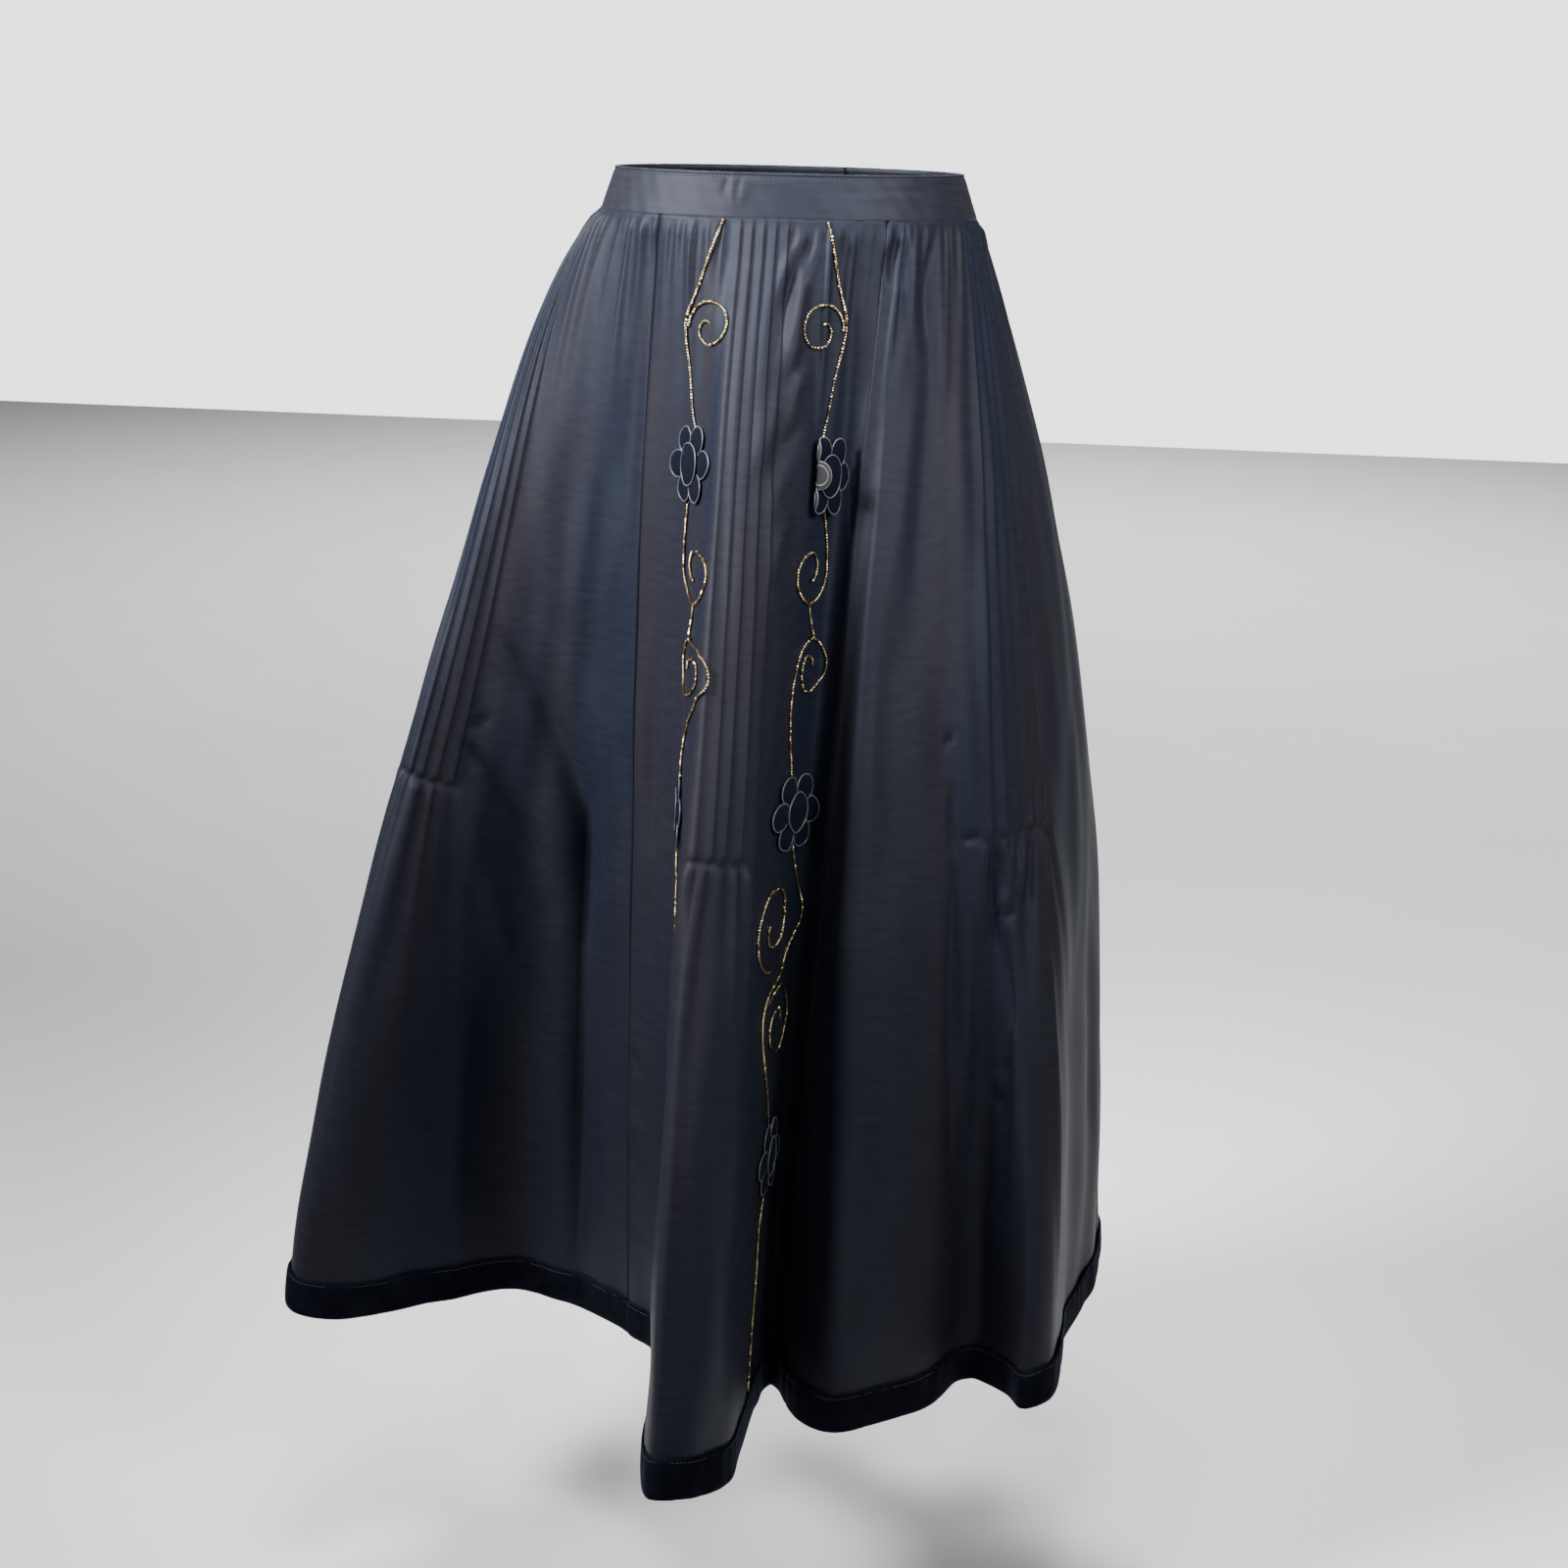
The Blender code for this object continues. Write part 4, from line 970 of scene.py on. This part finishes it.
places, uv = ribbon_places()
ribbon = bent_grid("hem_ribbon_velvet", places, RIBBON_VELVET, uv, closed=True)
ribbon = thickened(ribbon, RIBBON_THICKNESS)
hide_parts("hem_ribbon")
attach(ribbon, "skirt")
print("ribbon triangles", triangles(ribbon))

# %% [markdown]
# ## Velvet flowers
# Each flower is cut from velvet and padded: six short petals round a large oval middle, and a
# thin satin cord is sewn round each of them. One flower is modelled flat, petal by petal, from
# flattened spheres, and then laid on the cloth in each of its places.

# %% Cords as tubes
# Nearly straight up, so that no path runs exactly along it
PATH_UP = np.array([0.013, -0.021, 1.0])


def ways_along(path, closed=False):
    """The directions ahead, to the side and across both, at each point of a path."""
    if closed:
        ahead = np.roll(path, -1, axis=0) - np.roll(path, 1, axis=0)
    else:
        ahead = np.gradient(path, axis=0)
    ahead = unit(ahead)
    side = unit(np.cross(ahead, PATH_UP))
    return ahead, side, np.cross(side, ahead)


def tube(name, path, radius, sides, material, closed=False, twist=0.0, ridge=0.0):
    """A tube along a path of points. Its section may be ridged like a twisted cord."""
    _, side, top = ways_along(path, closed)
    run = run_along(path)
    angle = np.linspace(0, 2 * math.pi, sides + 1)[:, None]
    section = radius * (1 + ridge * np.cos(2 * angle + twist * run[None, :]))
    places = (
        path[None]
        + side[None] * (np.cos(angle) * section)[..., None]
        + top[None] * (np.sin(angle) * section)[..., None]
    )
    places[-1] = places[0]
    uv = np.stack(np.broadcast_arrays(run[None, :], angle * radius), axis=-1)
    if closed:
        places = np.concatenate([places, places[:, :1]], axis=1)
        uv = np.concatenate([uv, uv[:, :1]], axis=1)
    return bent_grid(name, places[::-1], material, uv[::-1], closed=True)


print("the up of cords:", PATH_UP)

# %% Satin cord and flower backing
SATIN_CORD = two_tone(
    "satin_cord", "ShaderNodeTexWave", 520.0,
    ((0.2, (0.022, 0.025, 0.034)), (0.8, (0.056, 0.062, 0.080))),
    {"Roughness": 0.42, "Sheen Weight": 0.08},
    stretch=(1.0, 1.6, 1.0), bands_direction="DIAGONAL",
)
# The stiff cloth under each flower, which shows only where one has curled over
FLOWER_BACKING = two_tone(
    "flower_backing", "ShaderNodeTexNoise", 900.0,
    ((0.3, grey(0.010)), (0.7, grey(0.018))),
    {"Roughness": 0.8, "Specular IOR Level": 0.1},
    source="Object",
)
print("finishes:", SATIN_CORD.name, FLOWER_BACKING.name)

# %% Gold cord
GLINT_HEIGHT = 0.0007


def gold_cord():
    """Metallic thread wound on a core, with painted glints: pale flecks in its colour between dark
    gaps.
    """
    material, shader, nodes, links = new_material("gold_cord")
    turns = pattern(nodes, links, "ShaderNodeTexWave", 150.0, bands_direction="X", Distortion=2.0)
    glint_cells = pattern(nodes, links, "ShaderNodeTexVoronoi", 430.0, stretch=(1.0, 0.4, 1.0))
    glint_channel = nodes.new("ShaderNodeSeparateColor")
    links.new(glint_cells.outputs["Color"], glint_channel.inputs["Color"])
    glint = nodes.new("ShaderNodeMath")
    glint.operation = "MULTIPLY"
    links.new(turns.outputs["Fac"], glint.inputs[0])
    links.new(glint_channel.outputs["Red"], glint.inputs[1])
    # Painted glints: the pale top stops are highlights painted into the colour of the cord
    gold = (
        (0.14, (0.018, 0.013, 0.008)),
        (0.26, (0.15, 0.09, 0.03)),
        (0.46, (0.62, 0.44, 0.17)),
        (0.64, (1.0, 0.90, 0.62)),
    )
    links.new(ramp(nodes, links, glint.outputs["Value"], gold), shader.inputs["Base Color"])
    metal = ramp(nodes, links, glint.outputs["Value"], ((0.14, grey(0.1)), (0.26, grey(1.0))))
    links.new(metal, shader.inputs["Metallic"])
    raise_by(glint.outputs["Value"], nodes, links, shader, 1.0, GLINT_HEIGHT)
    set_values(shader, {"Roughness": 0.20})
    return material


GOLD_CORD = gold_cord()
print("metallic:", GOLD_CORD.name)

# %% One flower, modelled flat
PETALS = 6
PETAL_MIDDLE = 0.0190
PETAL_HALF_WIDTH = 0.0096
PETAL_HALF_LENGTH = 0.0098
PETAL_THICKNESS = 0.0021
MIDDLE_HALF_WIDTH = 0.0128
MIDDLE_HALF_HEIGHT = 0.0148
MIDDLE_THICKNESS = 0.0032
MIDDLE_RISE = 0.0012
DOME_UNDERSIDE = 0.25
FIRST_PETAL_DEG = 30
# Every second petal lies this much higher
NEXT_PETAL_RISE = 0.0005
EDGE_CORD = 0.00055
EDGE_CORD_POINTS = 40
PETAL_CORD_HEIGHT = 0.0005
MIDDLE_CORD_HEIGHT = 0.0016
SEAM_CORD_HEIGHT = -0.0003
SEAM_SIZE = 0.72


def flat_dome(name, half_width, half_height, thickness):
    """A flattened sphere whose underside is flatter still."""
    nothing_selected()
    bpy.ops.mesh.primitive_uv_sphere_add(segments=28, ring_count=14, radius=1.0)
    dome = bpy.context.object
    dome.name = name
    for vertex in dome.data.vertices:
        x, y, z = vertex.co
        z = z if z > 0 else DOME_UNDERSIDE * z
        vertex.co = (x * half_width, y * half_height, thickness * z)
    dome.data.materials.append(FLOWER_VELVET)
    dome.data.materials.append(FLOWER_BACKING)
    for face in dome.data.polygons:
        face.material_index = int(face.center.z < 0)
    bpy.ops.object.shade_smooth()
    return dome


def edge_ring(name, half_width, half_height, height):
    """The satin cord round one petal or round the middle."""
    angle = 2 * math.pi * np.arange(EDGE_CORD_POINTS) / EDGE_CORD_POINTS
    path = np.stack([
        half_width * np.cos(angle),
        half_height * np.sin(angle),
        np.full(angle.shape, height),
    ], axis=-1)
    return tube(name, path, EDGE_CORD, 6, SATIN_CORD, closed=True)


def flat_flower():
    """Petals, middle and edge cords, joined into one piece that lies flat at the origin."""
    parts = []
    for k in range(PETALS):
        petal = flat_dome("petal", PETAL_HALF_WIDTH, PETAL_HALF_LENGTH, PETAL_THICKNESS)
        ring = edge_ring("petal_cord", PETAL_HALF_WIDTH, PETAL_HALF_LENGTH, PETAL_CORD_HEIGHT)
        seam_size = (PETAL_HALF_WIDTH * SEAM_SIZE, PETAL_HALF_LENGTH * SEAM_SIZE)
        seam = edge_ring("seam_cord", *seam_size, SEAM_CORD_HEIGHT)
        turn = Matrix.Rotation(math.radians(FIRST_PETAL_DEG + 360 * k / PETALS), 4, "Z")
        place = turn @ Matrix.Translation((0, PETAL_MIDDLE, NEXT_PETAL_RISE * (k % 2)))
        for part in (petal, ring, seam):
            part.data.transform(place)
            parts.append(part)
    middle = flat_dome("middle", MIDDLE_HALF_WIDTH, MIDDLE_HALF_HEIGHT, MIDDLE_THICKNESS)
    ring = edge_ring("middle_cord", MIDDLE_HALF_WIDTH, MIDDLE_HALF_HEIGHT, MIDDLE_CORD_HEIGHT)
    for part in (middle, ring):
        part.data.transform(Matrix.Translation((0, 0, MIDDLE_RISE)))
        parts.append(part)
    return joined(parts, "flat_flower")


master_flower = flat_flower()
print("one flower:", triangles(master_flower), "triangles")

# %% [markdown]
# A flower is laid on the skirt by reading each of its points as a width and a height along the
# cloth. The upper one of the left vine has its edge curled forward, as the photo shows, so its
# grey underside can be seen. Left and right are those of the skirt as it is worn.

# %% Places on the cloth and the curl
# Each flower: its name, its angle and level, and how far its edge is curled
FLOWERS = (
    ("flower_left_upper", 22.6, 0.200, 0.9),
    ("flower_left_middle", 22.0, 0.475, 0.0),
    ("flower_left_lower", 20.5, 0.770, 0.0),
    ("flower_right_upper", -19.5, 0.195, 0.0),
    ("flower_right_middle", -18.5, 0.475, 0.0),
    ("flower_right_lower", -18.5, 0.770, 0.0),
)
FLOWER_LIFT = 0.0010
# How much of the cloth's relief a flower follows, because it is stiffer than the cloth
FLOWER_FOLLOWS = 0.002
CURL_FROM = -0.0125
CURL_TURN = 2.45
CURL_LENGTH = 0.0080
CUP_NARROW = 0.66
CUP_RISE = 0.0065
CUP_REACH = 0.028


def laid_on(deg, level, flat):
    """Angles and levels of points given in metres across and up from a place on the cloth."""
    across = from_map(map_place, deg + 0.5, level) - from_map(map_place, deg - 0.5, level)
    down = (from_map(map_place, deg, level + 0.01) - from_map(map_place, deg, level - 0.01)) / 0.02
    lean = float(across @ down) / float(down @ down)
    width = np.linalg.norm(across - down * lean)
    degrees = flat[:, 0] / width
    return deg + degrees, level - flat[:, 1] / CLOTH_LENGTH - degrees * lean


def curled(points, curl):
    """Rolls what lies beyond CURL_FROM up and over, as a round bend and then straight on."""
    past = np.clip(CURL_FROM - points[:, 0], 0, None)
    bend = curl * CURL_TURN / CURL_LENGTH
    turn = bend * np.minimum(past, CURL_LENGTH)
    rest = np.clip(past - CURL_LENGTH, 0, None)
    x = CURL_FROM - np.sin(turn) / bend - rest * np.cos(turn) + points[:, 2] * np.sin(turn)
    z = (1 - np.cos(turn)) / bend + rest * np.sin(turn) + points[:, 2] * np.cos(turn)
    moved = points.copy()
    moved[:, 0] = np.where(past > 0, x, points[:, 0])
    moved[:, 2] = np.where(past > 0, z, points[:, 2])
    return moved


print("flowers:", len(FLOWERS))


# %% Flowers laid on the cloth
def lay_flower(name, deg, level, curl):
    """A copy of the flat flower, bent onto the cloth."""
    select_only([master_flower])
    bpy.ops.object.duplicate()
    flower = bpy.context.object
    flower.name = name + "_velvet"
    flower.data.name = flower.name
    mesh = flower.data
    points = np.empty(len(mesh.vertices) * 3, np.float32)
    mesh.vertices.foreach_get("co", points)
    points = points.reshape(-1, 3).astype(float)
    if curl:
        points = curled(points, curl)
        points[:, 2] += CUP_RISE * np.clip(1 - (points[:, 0] / CUP_REACH) ** 2, 0, 1)
        points[:, 0] *= CUP_NARROW
    around, levels_here = laid_on(deg, level, points[:, :2])
    out = from_map(map_out, around, levels_here)
    out = unit(out + unit(out.mean(axis=0)))
    bumps = np.clip(relief(around, levels_here), 0, FLOWER_FOLLOWS)
    lift = FACE + bumps + FLOWER_LIFT + points[:, 2]
    laid = from_map(map_place, around, levels_here) + out * lift[:, None]
    mesh.vertices.foreach_set("co", np.ascontiguousarray(laid, np.float32).ravel())
    mesh.update()
    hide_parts(name)
    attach(flower, "skirt")
    return flower


for name, deg, level, curl in FLOWERS:
    flower = lay_flower(name, deg, level, curl)
    print(flower.name, triangles(flower))
bpy.data.objects.remove(master_flower, do_unlink=True)

# %% [markdown]
# ## The gold cord
# Two vines of metallic cord run down the front, one each side of the tucks, nearly as mirror
# images. A vine is a waving stem, broken where a flower lies on it, with scrolls branching off.
# Every stem is a smooth curve through a few places, and every scroll is a spiral given by a
# formula. Places are counted in degrees outward from the vine's own middle line, and in levels.

# %% Rows of the vines
# Where each vine runs: level, middle on the left, middle on the right, and the share of the
# degrees that the right one takes. Its lower half lies in a hollow, where it is drawn in.
VINE_LINES = (
    (0.00, 20.5, 17.0, 1.0),
    (0.10, 19.7, 18.0, 1.0),
    (0.20, 23.3, 19.5, 1.0),
    (0.28, 22.0, 16.0, 1.0),
    (0.36, 24.5, 14.5, 1.0),
    (0.40, 23.5, 18.0, 0.6),
    (0.475, 22.0, 19.0, 0.4),
    (0.52, 20.5, 19.3, 0.2),
    (0.56, 19.5, 19.4, 0.15),
    (0.67, 20.0, 20.2, 0.3),
    (0.77, 20.5, 19.3, 0.45),
    (1.00, 17.0, 18.5, 0.5),
)
# Each stem has its places as (degrees outward, level)
STEMS = (
    ((-3.4, 0.001), (1.5, 0.045), (6.0, 0.086), (2.0, 0.140), (-1.4, 0.172)),
    ((1.5, 0.226), (4.8, 0.256), (6.0, 0.279)),
    ((-0.8, 0.304), (0.2, 0.317), (1.6, 0.332)),
    ((1.6, 0.332), (-4.5, 0.342), (-7.0, 0.368), (-6.0, 0.405), (-3.5, 0.448)),
    ((2.5, 0.502), (10.0, 0.560), (5.7, 0.600), (-4.3, 0.624), (-6.4, 0.655), (-1.5, 0.742)),
    ((-1.2, 0.798), (-2.6, 0.835), (-1.5, 0.880), (-1.4, 0.965)),
)
# Scrolls: degrees outward, level, half width (degrees), half height (level), start angle, turns.
# Angles are counted from the outward side, upward.
SCROLLS = (
    (-2.0, 0.0860, 7.2, 0.0215, 0.0, 1.25),
    (-0.8, 0.2790, 6.8, 0.0265, 0.0, -1.25),
    (0.0, 0.3570, 6.4, 0.0250, 90.0, -1.20),
    (-4.0, 0.5640, 7.0, 0.0370, 270.0, -1.30),
    (1.5, 0.6550, 7.4, 0.0340, 135.0, -1.35),
)
SCROLL_CLOSES = 0.80
print("stems:", len(STEMS), "scrolls:", len(SCROLLS))


# %% Curves and spirals
def even_path(points, step):
    """The same path with points an even distance apart."""
    run = run_along(points)
    count = max(3, int(run[-1] / step))
    at = np.linspace(0, run[-1], count)
    return np.stack([np.interp(at, run, points[:, k]) for k in range(points.shape[1])], axis=-1)


def curve_through(points, between=24):
    """A smooth curve through points, each passed parallel to the line between its neighbours."""
    points = np.asarray(points, float)
    tangent = np.gradient(points, axis=0)
    x = np.linspace(0, 1, between, endpoint=False)[:, None]
    pieces = []
    for k in range(len(points) - 1):
        pieces.append(
            points[k] * (1 + 2 * x) * (1 - x) ** 2
            + points[k + 1] * x**2 * (3 - 2 * x)
            + tangent[k] * x * (1 - x) ** 2
            - tangent[k + 1] * x**2 * (1 - x)
        )
    return np.concatenate([*pieces, points[-1:]])


def scroll_points(row):
    """A spiral that closes in on its middle, as (degrees outward, level)."""
    outward, level, half_width, half_height, start_deg, turns = row
    share = np.linspace(0.0, 1.0, 150)
    angle = np.radians(start_deg) + 2 * math.pi * turns * share
    reach = 1 - SCROLL_CLOSES * share**1.5
    across = outward + half_width * reach * np.cos(angle)
    return np.stack([across, level - half_height * reach * np.sin(angle)], axis=-1)


print("points of a scroll:", len(scroll_points(SCROLLS[0])))

# %% Paths of the vines
CORD_RADIUS = 0.00110
CORD_STEP = 0.0007


def sewn_path(side, points):
    """Where (degrees outward, level) points lie on the skirt, on its left (1) or right (-1)."""
    lines = np.array(VINE_LINES)
    middle = smooth_through(points[:, 1], lines[:, 0], lines[:, 1 if side > 0 else 2])
    share = 1.0 if side > 0 else smooth_through(points[:, 1], lines[:, 0], lines[:, 3])
    deg = side * (middle + points[:, 0] * share)
    return even_path(on_cloth(deg, points[:, 1], CORD_RADIUS * 0.85), CORD_STEP)


def cord_paths(side):
    """All the cords of one vine."""
    flat = [curve_through(stem) for stem in STEMS] + [scroll_points(row) for row in SCROLLS]
    return [sewn_path(side, points) for points in flat]


vine_paths = {"left": cord_paths(1), "right": cord_paths(-1)}
print("cords of a vine:", len(vine_paths["left"]))

# %% Gold cord sewn along the paths
CORD_SIDES = 7
CORD_TWIST = 3000.0
CORD_RIDGE = 0.20

for label, paths in vine_paths.items():
    parts = [
        tube(f"cord_{k}", path, CORD_RADIUS, CORD_SIDES, GOLD_CORD, twist=CORD_TWIST, ridge=CORD_RIDGE)
        for k, path in enumerate(paths)
    ]
    vine = joined(parts, f"vine_{label}_gold_cord")
    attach(vine, "skirt")
    length = sum(run_along(path)[-1] for path in paths)
    print(vine.name, "%.2f m of cord," % length, triangles(vine), "triangles")

# %% [markdown]
# ## Sewing
# The stitches that show are the topstitching of the waistband, the line along the ribbon's top
# edge, the two lines beside the zip with a bar at their foot, and the thread in the button. One
# stitch is modelled as a small stretched sphere and repeated along each line.

# %% Stitches along a line
STITCH_LENGTH = 0.0024
STITCH_PITCH = 0.0032
STITCH_RADIUS = 0.00022
THREAD = two_tone(
    "sewing_thread", "ShaderNodeTexNoise", 1800.0,
    ((0.3, (0.014, 0.017, 0.026)), (0.7, (0.034, 0.038, 0.052))),
    {"Roughness": 0.5},
    source="Object",
)


def stitch_line(name, path, length=STITCH_LENGTH, pitch=STITCH_PITCH):
    """One small stretched sphere, repeated along a path."""
    nothing_selected()
    bpy.ops.mesh.primitive_uv_sphere_add(segments=6, ring_count=4, radius=1.0)
    line = bpy.context.object
    line.name = name
    ball = np.array([vertex.co[:] for vertex in line.data.vertices])
    faces = [tuple(face.vertices) for face in line.data.polygons]
    spots = even_path(path, pitch)
    ahead, side, top = ways_along(spots)
    points = (
        spots[:, None]
        + ball[None, :, 2:3] * (length / 2) * ahead[:, None]
        + ball[None, :, 0:1] * STITCH_RADIUS * side[:, None]
        + ball[None, :, 1:2] * STITCH_RADIUS * top[:, None]
    )
    count = len(ball)
    all_faces = [tuple(v + k * count for v in face) for k in range(len(spots)) for face in faces]
    mesh = bpy.data.meshes.new(name)
    mesh.from_pydata(points.reshape(-1, 3).tolist(), [], all_faces)
    line.data = mesh
    mesh.materials.append(THREAD)
    bpy.ops.object.shade_smooth()
    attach(line, "skirt")
    print(name, len(spots), "stitches")
    return line


# %% Stitches of the waistband and the ribbon
BAND_STITCH_LIFT = 0.0003
RIBBON_STITCH_LEVEL = RIBBON_TOP + 0.003
RIBBON_STITCH_LIFT = RIBBON_LIFT + RIBBON_THICKNESS + 0.0006

band_deg = np.linspace(BAND_START_DEG + 1, 179.0, 900)
band_line = on_band(band_deg, TOPSTITCH_SHARE, BAND_STITCH_LIFT)
stitch_line("waistband_topstitching", band_line)
ribbon_deg = np.linspace(-35.9, 323.9, 2600)
ribbon_line = on_cloth(ribbon_deg, RIBBON_STITCH_LEVEL, RIBBON_STITCH_LIFT)
stitch_line("ribbon_stitching", ribbon_line)

# %% Stitches beside the zip
ZIP_LEVELS = (0.004, 0.222)
ZIP_STITCH_OUT = 0.0062
ZIP_STITCH_LIFT = 0.0002

zip_levels = np.linspace(*ZIP_LEVELS, 300)
width = from_map(map_width, 180.0, zip_levels)
for side, label in ((-1, "left"), (1, "right")):
    line = on_cloth(180.0 + side * ZIP_STITCH_OUT / width, zip_levels, ZIP_STITCH_LIFT)
    stitch_line(f"zip_stitching_{label}", line)
bar_deg = 180.0 + np.linspace(-ZIP_STITCH_OUT, ZIP_STITCH_OUT, 20) / width[-1]
stitch_line("zip_end_bar", on_cloth(bar_deg, zip_levels[-1], ZIP_STITCH_LIFT))

# %% Thread of the button
BUTTON_DEG = 174.1
BUTTON_WALL = 0.0026
THREAD_LENGTH = 0.0046
THREAD_APART = 0.00025

low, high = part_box("waist_button")
button_middle = np.array((low + high) / 2)
share = (button_middle[2] - SEAM_GAP) / (BAND_HEIGHT - SEAM_GAP)
across = on_band(BUTTON_DEG + 1.0, share) - on_band(BUTTON_DEG - 1.0, share)
upward = on_band(BUTTON_DEG, share + 0.1) - on_band(BUTTON_DEG, share - 0.1)
across, upward = unit(across), unit(upward)
face_of_button = button_middle + np.cross(across, upward) * (BUTTON_WALL / 2 + 0.0001)
for height, label in ((-THREAD_APART, "low"), (THREAD_APART, "high")):
    strand = face_of_button + upward * height + across * np.linspace(-0.0002, 0.0002, 3)[:, None]
    stitch_line(f"button_thread_{label}", strand, THREAD_LENGTH, 0.0002)

# %% [markdown]
# ## Zip and button
# The slider, its pull, the tape and the button keep their solids, which have the right shapes.
# They get dark enamel, woven tape and polished plastic.

# %% Dark enamel
def enamel():
    """Metal under dark enamel, a little worn."""
    material, shader, nodes, links = new_material("dark_enamel")
    wear = pattern(nodes, links, "ShaderNodeTexNoise", 600.0, source="Object", Detail=3.0)
    stops = ((0.45, (0.030, 0.036, 0.052)), (0.75, (0.075, 0.082, 0.10)))
    links.new(ramp(nodes, links, wear.outputs["Fac"], stops), shader.inputs["Base Color"])
    rough = ramp(nodes, links, wear.outputs["Fac"], ((0.3, grey(0.28)), (0.7, grey(0.42))))
    links.new(rough, shader.inputs["Roughness"])
    set_values(shader, {"Metallic": 0.6})
    return material


ENAMEL = enamel()
print("enamel:", ENAMEL.name)

# %% Finishes of the small parts
WOVEN_TAPE = two_tone(
    "woven_tape", "ShaderNodeTexWave", 420.0,
    ((0.2, (0.010, 0.012, 0.018)), (0.8, (0.022, 0.026, 0.038))),
    {"Roughness": 0.85},
    source="Object", bands_direction="Z",
)
BUTTON_PLASTIC = two_tone(
    "button_plastic", "ShaderNodeTexNoise", 240.0,
    ((0.3, (0.010, 0.013, 0.022)), (0.7, (0.022, 0.027, 0.042))),
    {"Roughness": 0.22},
    source="Object", Detail=2.0,
)


def paint(node, material):
    """Gives a solid that stays its finished material."""
    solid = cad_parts[node]
    solid.data.materials.clear()
    solid.data.materials.append(material)


for node, finish in (
    ("zip_slider", ENAMEL),
    ("zip_pull", ENAMEL),
    ("zip_tape", WOVEN_TAPE),
    ("waist_button", BUTTON_PLASTIC),
):
    paint(node, finish)
    print(node, "is", finish.name)

# %% [markdown]
# ## Floor and light
# The skirt stands alone over a plain pale floor. Large soft lights from above and in front copy
# the even light of the photo, strongest at the waist. One more lights the back and one the floor,
# and the sky adds a little from all sides.

# %% Floor
FLOOR_HEIGHT = -1.06
PALE_FLOOR = two_tone(
    "pale_floor", "ShaderNodeTexNoise", 3.0,
    ((0.3, grey(0.80)), (0.7, grey(0.83))),
    {"Roughness": 0.9},
    source="Object",
)
nothing_selected()
bpy.ops.mesh.primitive_plane_add(size=14.0, location=(0, 0, 0))
floor = bpy.context.object
floor.name = "floor"
floor.data.transform(Matrix.Translation((0, 0, FLOOR_HEIGHT)))
floor.data.materials.append(PALE_FLOOR)
print("floor at", FLOOR_HEIGHT)

# %% Lights
AT_WAIST = (0.0, 0.0, 0.12)
AT_FLOOR = (0.0, 4.2, FLOOR_HEIGHT)
# Name, place, what it points at, size, power, and how wide its beam opens in degrees
LIGHTS = (
    ("key_light", (-1.42, -0.98, 0.90), AT_WAIST, 0.8, 36.0, 66),
    ("front_light", (1.15, -1.24, 0.75), AT_WAIST, 0.8, 11.5, 62),
    ("top_light", (0.0, -0.4, 1.5), AT_WAIST, 0.8, 8.0, 75),
    ("back_light", (-0.3, 2.0, 1.6), AT_WAIST, 0.9, 26.0, 80),
    ("floor_light", (0.0, 5.0, 3.2), AT_FLOOR, 4.0, 160.0, 110),
)
for name, place, aim, size, power, beam_deg in LIGHTS:
    nothing_selected()
    bpy.ops.object.light_add(type="AREA", location=place)
    lamp = bpy.context.object
    lamp.name = name
    lamp.data.shape = "DISK"
    lamp.data.size = size
    lamp.data.energy = power
    lamp.data.spread = math.radians(beam_deg)
    lamp.rotation_euler = (Vector(aim) - Vector(place)).to_track_quat("-Z", "Y").to_euler()

print("lights:", len(LIGHTS))

# %% Sky
SKY_LIGHT = 0.15
SKY_SEEN = 2.60


def studio_sky():
    """A plain white backdrop, dimmer as a light than as it is seen."""
    sky = bpy.data.worlds.new("studio_sky")
    sky.use_nodes = True
    nodes, links = sky.node_tree.nodes, sky.node_tree.links
    seen = nodes.new("ShaderNodeLightPath")
    amount = nodes.new("ShaderNodeMapRange")
    amount.inputs["To Min"].default_value = SKY_LIGHT
    amount.inputs["To Max"].default_value = SKY_SEEN
    links.new(seen.outputs["Is Camera Ray"], amount.inputs["Value"])
    links.new(amount.outputs["Result"], nodes["Background"].inputs["Strength"])
    nodes["Background"].inputs["Color"].default_value = (1.0, 1.0, 1.0, 1.0)
    return sky


bpy.context.scene.world = studio_sky()
print("sky:", SKY_LIGHT, "as a light,", SKY_SEEN, "as it is seen")

# %% Triangles in all
counts = {piece.name: triangles(piece) for piece in bpy.data.objects if piece.type == "MESH"}
largest = max(counts, key=counts.get)
print("triangles in all:", sum(counts.values()), "most:", largest, counts[largest])
